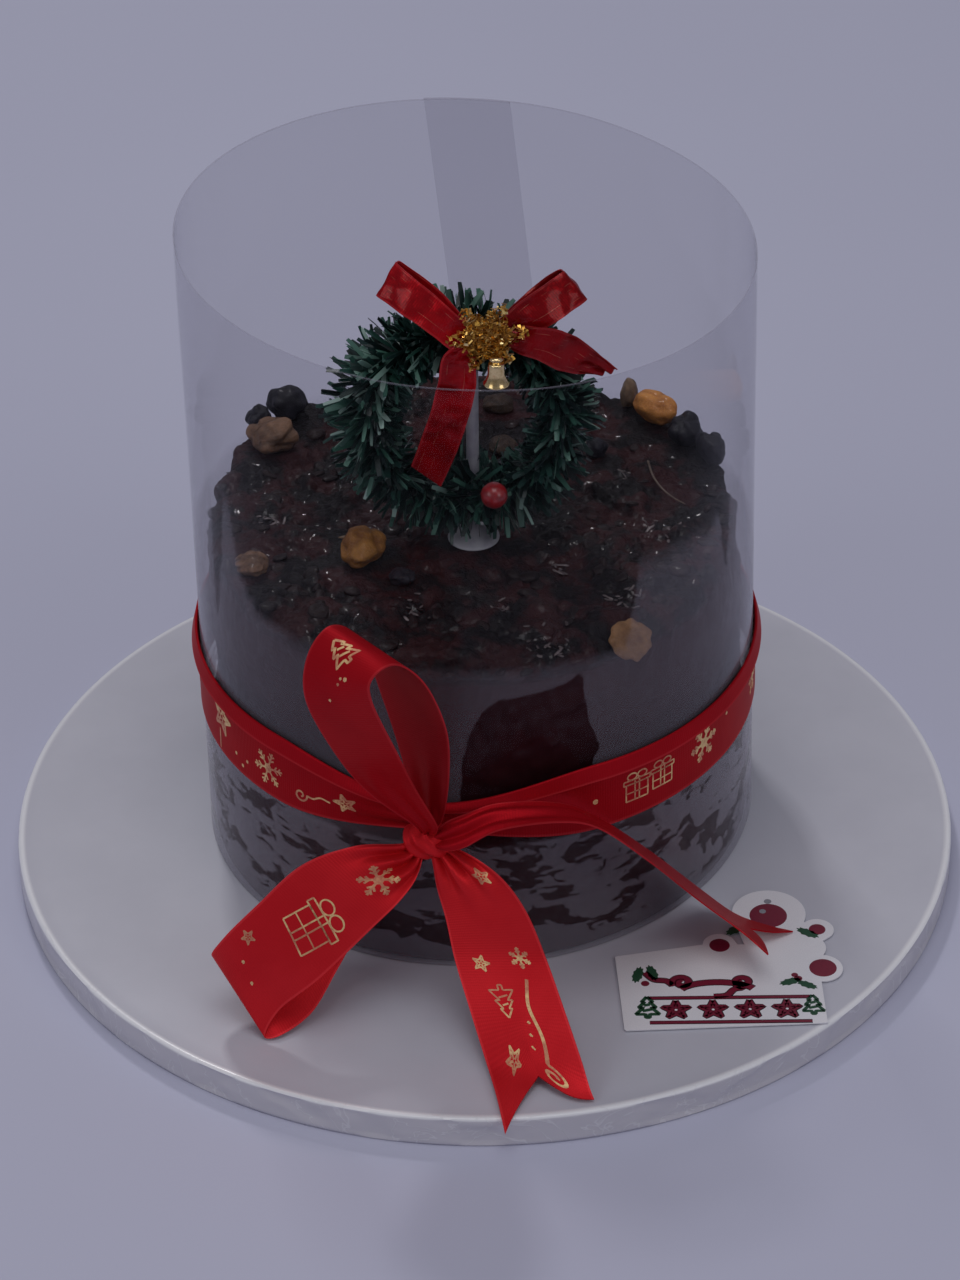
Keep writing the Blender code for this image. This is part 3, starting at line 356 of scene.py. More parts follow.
def curve_points(points, shares):
    """Points of the Catmull-Rom curve through the given ones, from its start, 0, to its end, 1."""
    points = np.array(points, dtype=float)
    spans = len(points) - 1
    place = np.clip(shares, 0.0, 1.0) * spans
    span = np.minimum(place.astype(int), spans - 1)
    t = (place - span)[..., None]
    padded = np.vstack([2.0 * points[0] - points[1], points, 2.0 * points[-1] - points[-2]])
    p0, p1, p2, p3 = (padded[span + k] for k in range(4))
    return 0.5 * (
        2.0 * p1 + (p2 - p0) * t + (2.0 * p0 - 5.0 * p1 + 4.0 * p2 - p3) * t * t
        + (3.0 * p1 - p0 - 3.0 * p2 + p3) * t * t * t
    )


def path_lengths(points):
    """Length of a path up to each of its points."""
    return np.concatenate([[0.0], np.cumsum(np.linalg.norm(np.diff(points, axis=0), axis=-1))])


def turned_flat(points, degrees):
    """Points of a plane turned anticlockwise."""
    c, s = math.cos(math.radians(degrees)), math.sin(math.radians(degrees))
    return np.asarray(points) @ np.array(((c, s), (-s, c)))


# ---- meshes from whole arrays ----
def grid_faces(rows, columns, round_rows=False, round_columns=False):
    """Four-cornered faces between neighbouring rows and columns of a grid; a round side joins its
    last line to its first."""
    number = np.arange(rows * columns).reshape(rows, columns)
    if round_rows:
        number = np.vstack([number, number[:1]])
    if round_columns:
        number = np.hstack([number, number[:, :1]])
    corners = number[:-1, :-1], number[:-1, 1:], number[1:, 1:], number[1:, :-1]
    return np.stack(corners, axis=-1).reshape(-1, 4)


def facing_out(points, faces):
    """Groups of closed faces, all turned round if they point inwards: then the sum of the volumes
    between each face and the middle is negative."""
    points = points - points.mean(axis=0)
    volume = 0.0
    for group in faces:
        for k in range(1, group.shape[1] - 1):
            a, b, c = points[group[:, 0]], points[group[:, k]], points[group[:, k + 1]]
            volume += float(np.einsum("ij,ij->i", a, np.cross(b, c)).sum())
    return [group[:, ::-1] for group in faces] if volume < 0.0 else list(faces)


def joined(shapes):
    """Several closed shapes as one: their points one after another, their faces numbered on."""
    points, groups, first = [], [], 0
    for made, faces in shapes:
        groups += [group + first for group in facing_out(made, faces)]
        points.append(made)
        first += len(made)
    return np.concatenate(points), groups


def put_mesh(name, points, faces, uv=None, shades=None, sharp=SEAMLESS):
    """A piece from an array of points and groups of faces, turned to face outwards; uv and shades
    are given per point, and an edge is sharp from that many degrees on."""
    points = np.asarray(points, dtype=float).reshape(-1, 3)
    faces = facing_out(points, faces)
    corners = np.concatenate([group.ravel() for group in faces]).astype(np.int32)
    counts = np.concatenate([np.full(len(group), group.shape[1]) for group in faces])
    starts = np.concatenate([[0], np.cumsum(counts)[:-1]]).astype(np.int32)
    mesh = bpy.data.meshes.new(name)
    mesh.vertices.add(len(points))
    mesh.vertices.foreach_set("co", (points * MM).astype(np.float32).ravel())
    mesh.loops.add(len(corners))
    mesh.loops.foreach_set("vertex_index", corners)
    mesh.polygons.add(len(counts))
    mesh.polygons.foreach_set("loop_start", starts)
    mesh.update(calc_edges=True)
    mesh.validate()
    if uv is not None:
        layer = mesh.uv_layers.new(name="UVMap")
        layer.data.foreach_set("uv", np.asarray(uv, dtype=np.float32)[corners].ravel())
    for label, values in (shades or {}).items():
        shade = mesh.attributes.new(label, "FLOAT", "POINT")
        shade.data.foreach_set("value", np.asarray(values, dtype=np.float32))
    mesh.shade_smooth()
    mesh.set_sharp_from_angle(angle=math.radians(sharp))
    piece = bpy.data.objects.new(name, mesh)
    bpy.context.scene.collection.objects.link(piece)
    return piece


def grid_normals(grid):
    """Direction square to a grid of points: its steps along rows crossed with its steps along
    columns."""
    return unit(np.cross(np.gradient(grid, axis=0), np.gradient(grid, axis=1)))


def round_grid_normals(grid):
    """The same for a grid whose last row is followed by its first."""
    wide = np.concatenate([grid[-1:], grid, grid[:1]])
    return unit(np.cross(wide[2:] - wide[:-2], np.gradient(grid, axis=1)))


def shell(grid, thick, round_rows=False):
    """A thin closed sheet: the grid moved half the thickness each way along its normals, and walls
    round its edges."""
    rows, columns = grid.shape[:2]
    off = (round_grid_normals if round_rows else grid_normals)(grid) * thick / 2.0
    count = rows * columns
    points = np.concatenate([(grid + off).reshape(-1, 3), (grid - off).reshape(-1, 3)])
    top = grid_faces(rows, columns, round_rows)
    number = np.arange(count).reshape(rows, columns)
    edges = [number[:, 0][::-1], number[:, -1]]
    if round_rows:
        edges = [np.append(edge, edge[0]) for edge in edges]
    else:
        edges += [number[0], number[-1][::-1]]
    walls = [
        np.stack([edge[1:], edge[1:] + count, edge[:-1] + count, edge[:-1]], axis=-1)
        for edge in edges
    ]
    return points, [top, top[:, ::-1] + count] + walls


def ball_faces(rings, sides):
    """Faces of rings of points closed by a fan to one pole at each end; the poles are the last two
    points."""
    body = grid_faces(rings, sides, round_columns=True)
    first = np.arange(sides)
    after = np.roll(first, -1)
    pole = rings * sides
    last = first + (rings - 1) * sides
    start = points_from(pole, after, first)
    end = points_from(pole + 1, last, last[after])
    return [body, start, end]


def with_poles(rings, start, end):
    """Rings of points in one list, with the two poles at its end."""
    return np.concatenate([np.reshape(rings, (-1, 3)), [start, end]])


def turned(name, profile, sides, centre, sharp=SEAMLESS):
    """A profile of radius and height turned once round the upright line through the centre; it
    starts and ends on that line."""
    profile = np.array(profile, dtype=float)
    radius, height = profile[1:-1, :1], profile[1:-1, 1:]
    rings = round_points(radius, round_angles(sides), height)
    points = with_poles(rings, (0.0, 0.0, profile[0, 1]), (0.0, 0.0, profile[-1, 1]))
    return put_mesh(name, points + np.array(centre), ball_faces(len(radius), sides), sharp=sharp)


def rounded(profile, steps=5, most=1.0):
    """A profile with each inner corner swept into a small arc: the quadratic curve between two
    points on its sides, at most so many millimetres from the corner."""
    profile = np.array(profile, dtype=float)
    made = [profile[0]]
    for before, corner, after in zip(profile[:-2], profile[1:-1], profile[2:]):
        start, stop = (
            corner + unit(end - corner) * min(most, 0.45 * np.linalg.norm(end - corner))
            for end in (before, after)
        )
        for t in np.linspace(0.0, 1.0, steps):
            made.append((1 - t) ** 2 * start + 2 * t * (1 - t) * corner + t * t * stop)
    made.append(profile[-1])
    return made


def small_ball(rings, sides):
    """A ball of unit radius: rings of points between two poles."""
    tilt = np.linspace(0.0, math.pi, rings + 2)[1:-1, None]
    body = round_points(np.sin(tilt), round_angles(sides), np.cos(tilt))
    return with_poles(body, (0.0, 0.0, 1.0), (0.0, 0.0, -1.0)), ball_faces(rings, sides)


def random_frames(draw, count, lean=math.pi):
    """Seeded turns: a spin about the upright, a lean up to the given angle, and another spin."""
    first, leaning, last = (draw.uniform(0.0, most, count) for most in (TURN, lean, TURN))

    def about(axis, angle):
        """Turning matrices about the upright (2) or the level (0) axis."""
        turn = np.zeros((count, 3, 3))
        turn[:, axis, axis] = 1.0
        a, b = ((0, 1) if axis == 2 else (1, 2))
        turn[:, a, a] = turn[:, b, b] = np.cos(angle)
        turn[:, a, b], turn[:, b, a] = -np.sin(angle), np.sin(angle)
        return turn

    return about(2, first) @ about(0, leaning) @ about(2, last)


def copies(base, faces, centres, frames, sizes):
    """Many copies of one small shape in one mesh: each point times the copy's size, turned by its
    frame, moved to its centre."""
    points = np.einsum("nij,npj->npi", frames, base[None] * sizes[:, None]) + centres[:, None]
    shift = (np.arange(len(centres)) * len(base))[:, None, None]
    return points.reshape(-1, 3), [(group + shift).reshape(-1, group.shape[1]) for group in faces]


def finish_piece(piece, paint, slot, *nodes):
    """Gives a piece its material, lets it ride on the cake's one body and stand for its solids;
    slot is not used."""
    piece.data.materials.clear()
    piece.data.materials.append(paint)
    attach(piece, "root")
    if nodes:
        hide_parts(*nodes)
    return piece


# ---- materials ----
def math_node(kind, swapped=False):
    """A sum of two terms as one of Value's operators; swapped for its reflected form."""
    def made(value, other):
        """The operator: a Math node over the two terms."""
        first, second = (other, value) if swapped else (value, other)
        return value.finish.node("ShaderNodeMath", {"operation": kind}, {0: first, 1: second})
    return made


class Value:
    """One output of a material's nodes, so that sums on numbers are written as plain Python."""

    def __init__(self, finish, socket):
        self.finish = finish
        self.socket = socket
        self.in_mm = False      # True for UV coordinates, which are in millimetres already

    __add__, __radd__ = math_node("ADD"), math_node("ADD", True)
    __sub__, __rsub__ = math_node("SUBTRACT"), math_node("SUBTRACT", True)
    __mul__, __rmul__ = math_node("MULTIPLY"), math_node("MULTIPLY", True)
    __truediv__, __pow__ = math_node("DIVIDE"), math_node("POWER")
    at_least, at_most = math_node("MAXIMUM"), math_node("MINIMUM")

    def wave(self):
        """The sine."""
        return self.finish.node("ShaderNodeMath", {"operation": "SINE"}, {0: self})

    def clear(self):
        """Kept between 0 and 1."""
        return self.at_most(1.0).at_least(0.0)

    def step(self, low, high):
        """0 below low, 1 above high, and soft between."""
        return self.finish.node(
            "ShaderNodeMapRange", {"interpolation_type": "SMOOTHSTEP"},
            {"Value": self, "From Min": low, "From Max": high, "To Min": 0.0, "To Max": 1.0},
        )


class Finish:
    """One material being made: its nodes come from one method, and its shader is set at the end."""

    def __init__(self, name):
        self.material = bpy.data.materials.new(name)
        self.material.use_nodes = True
        self.tree = self.material.node_tree
        self.tree.nodes.clear()

    def node(self, kind, settings=None, sockets=None, out=0):
        """A node of this type: its settings first, then the values or links of its sockets; one
        output comes back."""
        made = self.tree.nodes.new(kind)
        for name, value in (settings or {}).items():
            if name == "stops":
                ramp = made.color_ramp.elements
                while len(ramp) < len(value):
                    ramp.new(0.5)
                for stop, (place, colour) in zip(ramp, value):
                    stop.position = place
                    stop.color = (*colour, 1.0)
            else:
                setattr(made, name, value)
        for name, value in (sockets or {}).items():
            if isinstance(value, Value):
                self.tree.links.new(value.socket, made.inputs[name])
            elif isinstance(value, tuple) and len(value) == 3 and made.inputs[name].type == "RGBA":
                made.inputs[name].default_value = (*value, 1.0)
            else:
                made.inputs[name].default_value = value
        return Value(self, made.outputs[out]) if len(made.outputs) else None

    def place(self, stretch=(1.0, 1.0, 1.0), source="Object"):
        """Object or UV coordinates, stretched."""
        here = self.node("ShaderNodeTexCoord", out=source)
        placed = self.node("ShaderNodeVectorMath", {"operation": "MULTIPLY"}, {0: here, 1: stretch})
        placed.in_mm = source == "UV"
        return placed

    def part(self, vector, axis):
        """One coordinate of a vector."""
        return self.node("ShaderNodeSeparateXYZ", sockets={"Vector": vector}, out=axis)

    def noise(self, per_mm, detail=3.0, rough=0.55, where=None, twist=0.0):
        """Soft noise with so many waves to the millimetre."""
        where = where or self.place()
        return self.node("ShaderNodeTexNoise", {}, {
            "Vector": where, "Scale": per_mm * (1.0 if where.in_mm else 1.0 / MM),
            "Detail": detail, "Roughness": rough, "Distortion": twist,
        })

    def spots(self, per_mm):
        """Distance to scattered points, so many to the millimetre."""
        return self.node(
            "ShaderNodeTexVoronoi", {"feature": "F1"},
            {"Vector": self.place(), "Scale": per_mm / MM}, out="Distance",
        )

    def mix(self, share, first, second):
        """A blend of two colours."""
        return self.node(
            "ShaderNodeMix", {"data_type": "RGBA"}, {0: share, 6: first, 7: second}, out=2
        )

    def ramp(self, share, *stops):
        """A colour from a row of places and their colours."""
        return self.node("ShaderNodeValToRGB", {"stops": stops}, {"Fac": share})

    def shade(self, name):
        """A number carried by the piece's own points."""
        return self.node("ShaderNodeAttribute", {"attribute_name": name}, out="Fac")

    def bump(self, height, depth_mm, under=None):
        """A relief: height times the depth, over another relief if one is given."""
        sockets = {"Strength": 1.0, "Distance": depth_mm * MM, "Height": height}
        if under:
            sockets["Normal"] = under
        return self.node("ShaderNodeBump", {}, sockets)

    def surface(self, **sockets):
        """The main shader; a socket's name has its spaces as underscores."""
        sockets = {name.replace("_", " "): value for name, value in sockets.items()}
        return self.node("ShaderNodeBsdfPrincipled", {}, sockets)

    def blend(self, share, first, second):
        """A blend of two shaders."""
        return self.node("ShaderNodeMixShader", {}, {0: share, 1: first, 2: second})

    def done(self, shader=None, **sockets):
        """Links the shader, or the main shader with these sockets, to the material's output."""
        shader = shader or self.surface(**sockets)
        self.node("ShaderNodeOutputMaterial", {}, {"Surface": shader})
        return self.material


def mottled_finish(name, bright, deep, grain, steps, rough, relief, **constant):
    """Two close shades mixed by soft noise, which also dulls the gloss and stands in low relief.

    grain holds the noise's waves to the millimetre, detail and roughness, steps the noise's ends
    for the two shades, and rough the least roughness and what the noise adds to it."""
    paint = Finish(name)
    mottle = paint.noise(*grain)
    least, added = rough
    return paint.done(
        Base_Color=paint.mix(mottle.step(*steps), bright, deep),
        Roughness=least + added * mottle, Normal=paint.bump(mottle, relief), **constant
    )


def film_finish():
    """Clear film: mostly see-through, mirror-like at a slant, with a pale veil over the cake's side
    that paints the reflection of the table and board, a haze below the band that is partly painted
    reflection and partly fogged film, with gaps where the cake lies wet on it, and a rim painted
    pale as a highlight."""
    paint = Finish("clear film")
    film_map = paint.place(source="UV")
    slant = paint.node("ShaderNodeLayerWeight", {}, {"Blend": 0.5}, out="Facing")
    mirror = 0.003 + 0.80 * slant ** 6.0
    height = paint.part(paint.place(), "Z") / MM
    low = 1.0 - height.step(47.5, 49.5)
    blotch = paint.noise(0.11, 3.0, 0.5, paint.place((0.42, 1.0, 1.0), "UV"), 0.9)
    streak = paint.noise(0.28, 2.0, 0.5, paint.place((0.5, 1.0, 1.0), "UV"), 1.0)
    foot = 1.0 - height.step(13.0, 16.0)
    damp = paint.shade("damp")
    spread = 0.6 * blotch + 0.4 * streak + 0.05 * (0.5 - damp)
    dry = (spread.step(0.503, 0.520) + foot).clear()
    ragged = paint.noise(0.12, 2.0, 0.5, film_map)
    dull = (paint.shade("beyond") + 2.4 * (ragged - 0.5)).step(-0.3, 0.3)
    # The pale veil over the cake's side paints the reflection of the table and board in the film;
    # it is kept off the three clear places.
    reflection_veil = paint.shade("mist") * dull * (0.86 + 0.28 * paint.noise(0.05, 3.0, 0.5, film_map))
    # The cut rim is painted pale as a highlight.
    rim = height.step(FILM_TOP - 0.45, FILM_TOP - 0.3)
    # Below the band a pale haze, partly painted reflection of the board and partly fogged film,
    # with gaps where the cake lies wet on the film.
    low_haze_and_reflection = low * (0.014 + 0.128 * dry * (1.0 - 0.5 * damp))
    haze = ((low_haze_and_reflection + reflection_veil) * (1.0 + 2.2 * slant ** 3.0) + 0.12 * rim).clear()
    clear = paint.node("ShaderNodeBsdfTransparent", {}, {"Color": (0.930, 0.927, 0.936)})
    shine = paint.surface(Base_Color=(0.92, 0.92, 0.95), Metallic=1.0, Roughness=0.07)
    # The pale shader that paints the reflection, the haze below the band and the rim highlight.
    pale_veil = paint.surface(Base_Color=(0.52, 0.50, 0.59), Roughness=0.6)
    return paint.done(paint.blend(haze, paint.blend(mirror, clear, shine), pale_veil))


def cake_finish():
    """Almost black sticky crumb: wine-brown and black patches, fine grain, wet in places, wine-red
    where film presses on it."""
    paint = Finish("dark plum cake")
    patch = paint.noise(0.09, 5.0, 0.6)
    grain = paint.noise(0.8, 5.0, 0.65)
    side = paint.shade("side")
    dark = paint.mix(patch.step(0.44, 0.57), (0.0050, 0.0030, 0.0045), (0.034, 0.0080, 0.0096))
    colour = paint.mix(grain.step(0.56, 0.72) * 0.40, dark, (0.044, 0.022, 0.020))
    colour = paint.mix(side, colour, (0.032, 0.0036, 0.0064))
    wet = ((paint.shade("wet") + 0.25) * paint.noise(0.5, 4.0, 0.6).step(0.48, 0.58)).clear()
    relief = (paint.spots(0.45) * 0.5 + paint.noise(0.35, 4.0) * 1.6) * (1.0 - side)
    return paint.done(
        Base_Color=colour, Roughness=0.66 - 0.38 * wet, Specular_IOR_Level=0.22,
        Coat_Weight=wet, Coat_Roughness=0.09, Normal=paint.bump(relief, 1.0),
    )


def dried_fruit_finish(name, deep, bright, sheen, clear, glaze):
    """Glazed dried fruit: darker where its fold number is low, which paints shade in a fruit's
    folds (on loose raisins and slivers it is a random tone, on the slice it also holds the pale
    rim), mottled, sticky bright skin over a wrinkled bump.
    """
    paint = Finish(name)
    mottle = paint.noise(0.35, 4.0, 0.6)
    fine = paint.noise(1.6, 4.0, 0.6)
    # A low fold number darkens the colour: painted shade in a fruit's folds; on crumbs it is a
    # random tone.
    pale = 0.45 * paint.shade("fold") + (mottle.step(0.36, 0.64) + fine.step(0.3, 0.7)) * 0.3
    return paint.done(
        Base_Color=paint.mix(pale.clear(), deep, bright), Roughness=sheen + 0.18 * fine,
        Coat_Weight=glaze, Coat_Roughness=0.15, Specular_IOR_Level=0.15 + glaze,
        Subsurface_Weight=clear, Subsurface_Radius=(3.0, 1.2, 0.6), Subsurface_Scale=0.001,
        Normal=paint.bump(fine * 0.6 + mottle * 0.6, 0.45),
    )


def satin_finish(
    name, bright, deep, width, ribs_per_mm=1.4, threads=0.0, rough=0.40, gloss=0.0, folds=0.06
):
    """Woven ribbon: fine ribs across it from its own UV map in millimetres, a soft red sheen, broad
    darker noise patches, a random tone that also paints shade as on folds, and both woven edges
    painted paler as a highlight; threads is the step of its metal threads and gloss its clear coat."""
    paint = Finish(name)
    ribbon_map = paint.place(source="UV")
    across = paint.part(ribbon_map, "Y")
    rib = (paint.part(ribbon_map, "X") * (ribs_per_mm * TURN)).wave()
    warp = (across * (ribs_per_mm * 1.3 * TURN)).wave()
    uneven = paint.noise(folds, 2.0)
    # Broad soft noise darkens the ribbon in patches: a random tone that also paints shade as on
    # folds.
    colour = paint.mix(uneven.step(0.35, 0.68) * (0.35 + 0.6 * gloss), bright, deep)
    colour = paint.mix((0.5 + 0.5 * rib) * 0.10, colour, deep)
    # Both edges are painted paler: a painted highlight along the woven edge.
    edge = across.step(width - 0.8, width - 0.35) + (1.0 - across.step(0.35, 0.8))
    colour = paint.mix(edge * 0.5, colour, tuple(min(1.3 * part + 0.03, 1.0) for part in bright))
    dull = rough - 0.04 + 0.08 * uneven
    if threads:
        line = (across * (TURN / threads)).wave().step(0.92, 0.995)
        dash = paint.noise(0.7, 2.0, where=paint.place((0.3, 1.0, 1.0), "UV")).step(0.50, 0.66)
        colour = paint.mix(line * dash * 0.30, colour, (0.80, 0.30, 0.20))
        dull = dull - 0.14 * line * dash
    weave = paint.bump(rib * 0.5 + warp * 0.3, 0.02)
    return paint.done(
        Base_Color=colour, Metallic=0.35, Roughness=dull,
        Specular_IOR_Level=0.08, Specular_Tint=(1.0, 0.30, 0.30, 1.0),
        Coat_Weight=gloss, Coat_Roughness=0.14,
        Normal=paint.bump(paint.noise(0.3, 2.0), 1.6 * gloss, under=weave),
    )


def foil_finish():
    """Printed gold foil: bright metal with a worn, slightly grainy face."""
    paint = Finish("gold foil print")
    worn = paint.noise(1.1, 3.0, 0.6)
    tint = paint.noise(0.10, 2.0)
    copper = (0.5 * worn.step(0.42, 0.66) + 0.8 * tint.step(0.44, 0.56)).clear()
    return paint.done(
        Base_Color=paint.mix(copper, (0.92, 0.64, 0.30), (0.62, 0.23, 0.13)),
        Metallic=0.35, Roughness=0.36 + 0.25 * worn, Normal=paint.bump(worn, 0.03),
    )


def tinsel_finish():
    """Cut foil needles: each has its own green, from nearly black to mint, and a plastic shine; the
    lightest tones also paint glints and light on the ring's left side.
    """
    paint = Finish("green tinsel")
    colour = paint.ramp(
        paint.shade("tone"),
        (0.0, (0.004, 0.009, 0.009)), (0.35, (0.008, 0.024, 0.022)), (0.6, (0.018, 0.066, 0.053)),
        (0.8, (0.050, 0.150, 0.110)), (0.93, (0.14, 0.28, 0.22)), (1.0, (0.34, 0.48, 0.43)),
    )
    streak = paint.noise(1.4, 2.0)
    return paint.done(Base_Color=colour, Roughness=0.26 + 0.2 * streak, Metallic=0.25 * streak)


def glitter_finish():
    """Gold glitter: each flake has its own gold, from straw to burnt orange."""
    paint = Finish("gold glitter")
    colour = paint.ramp(
        paint.shade("tone"),
        (0.0, (0.24, 0.10, 0.02)), (0.35, (0.52, 0.25, 0.04)),
        (0.7, (0.82, 0.48, 0.10)), (1.0, (1.0, 0.82, 0.40)),
    )
    return paint.done(Base_Color=colour, Metallic=0.9, Roughness=0.2 + 0.2 * paint.noise(0.8))


def moulded_finish(name, bright, deep):
    """Moulded plastic: a soft sheen, faint mould marks and slight dulling."""
    paint = Finish(name)
    dull = paint.noise(0.3, 4.0)
    return paint.done(
        Base_Color=paint.mix(dull.step(0.4, 0.7), bright, deep),
        Roughness=0.34 + 0.2 * dull, Normal=paint.bump(paint.noise(2.2, 3.0), 0.03),
    )


def board_finish():
    """White cake card: a laminated top with a faint mottle, a lip painted bright as a highlight,
    and an edge in clear wrap with a few creases."""
    paint = Finish("wrapped cake board")
    out = paint.shade("edge")
    mottle = paint.noise(0.02, 4.0, 0.6)
    fibre = paint.noise(1.8, 3.0, 0.6)
    fold = paint.noise(0.045, 3.0, 0.6, twist=1.5)
    crease = fold.step(0.485, 0.50) * (1.0 - fold.step(0.50, 0.515))
    white = paint.mix(mottle.step(0.3, 0.7), (0.59, 0.59, 0.665), (0.54, 0.54, 0.615))
    wrap = paint.mix(crease * 0.5, (0.62, 0.60, 0.65), (0.80, 0.80, 0.84))
    # The lip at the top of the wrapped edge is painted nearly white: a painted highlight.
    colour = paint.mix(paint.shade("lip"), paint.mix(out, white, wrap), (0.86, 0.86, 0.90))
    return paint.done(
        Base_Color=colour, Roughness=0.42 - 0.12 * out + 0.08 * fibre,
        Coat_Weight=0.12 + 0.4 * out, Coat_Roughness=0.2,
        Normal=paint.bump(fibre * 0.3 + mottle * 1.5 + crease * out, 0.05),
    )


def ink_finish(name, bright, deep, rough=0.42):
    """Printing ink on coated card: an even colour with a faint screen and uneven gloss."""
    return mottled_finish(
        name, bright, deep, (3.5, 2.0), (0.35, 0.65), (rough, 0.12), 0.01,
        Coat_Weight=0.12, Coat_Roughness=0.3,
    )


# ---- the sleeve's shape, which the band and the lower cake follow ----
def film_share(height):
    """0 at the film's lower edge and 1 at its rim."""
    return (height - FILM_BOTTOM) / (FILM_TOP - FILM_BOTTOM)


def oval(radius, shares, angle):
    """Radius of a slightly oval ring in one direction."""
    return radius * (1.0 + shares[0] * np.cos(2.0 * angle) + shares[1] * np.sin(2.0 * angle))


def sleeve_radius(angle, height):
    """Radius of the film's middle: the base oval and the rim oval blended by height."""
    share = film_share(height)
    base, rim = oval(SLEEVE_BASE, BASE_OVAL, angle), oval(SLEEVE_RIM, RIM_OVAL, angle)
    return base * (1.0 - share) + rim * share


def sleeve_axis(height):
    """The place of the film's leaning axis at a height."""
    share = film_share(height)
    return SLEEVE_X + SLEEVE_LEAN[0] * share, SLEEVE_Y + SLEEVE_LEAN[1] * share


def sleeve_points(angle, height, outwards=0.0):
    """Points of the film's middle, moved outwards from its leaning axis."""
    radius = sleeve_radius(angle, height) + outwards
    x, y = sleeve_axis(height)
    return points_from(x + radius * np.cos(angle), y + radius * np.sin(angle), height)


def seam_twist(height):
    """Degrees by which the film is rolled askew: none at the rim, more and more down to the cake,
    then even."""
    return 3.6 * np.clip((FILM_TOP - height) / 55.0, 0.0, 1.3)


def seam_rise(turn):
    """How far the film stands out along its roll: it rises before the full turn to pass over its
    start."""
    return smooth((turn - 360.0 + SEAM_RISE) / SEAM_RISE)


def seam_lift(degrees, height):
    """How far the film's outer end stands out, in a direction round the sleeve and at a height."""
    turn = (degrees + seam_twist(height) - SEAM_START) % 360.0
    falling = np.where(turn < 180.0, 1.0 - smooth((turn - SEAM_OVERLAP) / SEAM_FALL), 0.0)
    return SEAM_STEP * np.maximum(seam_rise(turn), falling)


def beyond_outline(flat, outline):
    """Distance of flat points to a closed outline, negative inside: the nearest side's, signed by
    how often a level line crosses it."""
    nearest = np.full(flat.shape[:-1], 1e6)
    inside = np.zeros(flat.shape[:-1], dtype=bool)
    corners = np.array(outline)
    for start, stop in zip(corners, np.roll(corners, -1, axis=0)):
        step, offset = stop - start, flat - start
        share = np.clip((offset @ step) / (step @ step), 0.0, 1.0)
        nearest = np.minimum(nearest, np.linalg.norm(offset - share[..., None] * step, axis=-1))
        spans = (flat[..., 1] < start[1]) != (flat[..., 1] < stop[1])
        rise = step[1] if abs(step[1]) > 1e-9 else 1e-9
        inside ^= spans & (flat[..., 0] < start[0] + offset[..., 1] / rise * step[0])
    return np.where(inside, -nearest, nearest)


def make_sleeve():
    """One sheet rolled past a full turn: angle along the rows, height across, lifted where its
    outer end passes over. Its painted reflection, a pale veil, reaches up to a line, and three
    outlines stay clear of it."""
    turn = np.linspace(0.0, 360.0 + SEAM_OVERLAP, 421)[:, None]
    height = np.linspace(FILM_BOTTOM, FILM_TOP, 49)[None, :]
    angle = np.radians(SEAM_START + turn - seam_twist(height))
    ripple = 0.25 * cloud(round_points(3.0, angle, height / 40.0), 1.0, 3)
    loose = smooth((height - 120.0) / 60.0)
    grid = sleeve_points(angle, height, SEAM_STEP * seam_rise(turn) + ripple * loose)
    points, faces = shell(grid, FILM_THICK)
    uv = points_from(np.radians(turn) * SLEEVE_BASE, height)
    aside = (np.degrees(angle) + 270.0) % 360.0 - 180.0
    unrolled = points_from(aside * math.radians(1.0) * SLEEVE_BASE, height)
    ragged = 1.2 * cloud(points_from(uv[..., 0], uv[..., 1], 0.0), 9.0, 12, 2)
    top = np.interp(aside, *zip(*REFLECTION_VEIL_TOP))
    # How far up the film is painted with the reflection of the table and board, below a ragged
    # line.
    reflection_reach = smooth((top + ragged - height) / 3.0) * smooth((height - 48.0) / 2.0)
    from_back = 180.0 - np.abs(aside)
    beyond = [beyond_outline(unrolled, outline) for outline in CLEAR_PLACES]
    shades = {
        # Strength of the painted reflection: a pale veil over the cake's side, faint everywhere
        # below 165 mm.
        "mist": 0.070 * reflection_reach + 0.0045 * smooth((165.0 - height) / 40.0),
        "damp": 1.0 - smooth((from_back - 15.0) / 50.0),
        "beyond": np.minimum.reduce(beyond),
    }
    shades = {label: np.tile(values.ravel(), 2) for label, values in shades.items()}
    uv = np.tile(uv.reshape(-1, 2), (2, 1))
    sleeve = put_mesh("clear_sleeve", points, faces, uv, shades, 50.0)
    finish_piece(sleeve, film_finish(), "film", "film_sleeve")


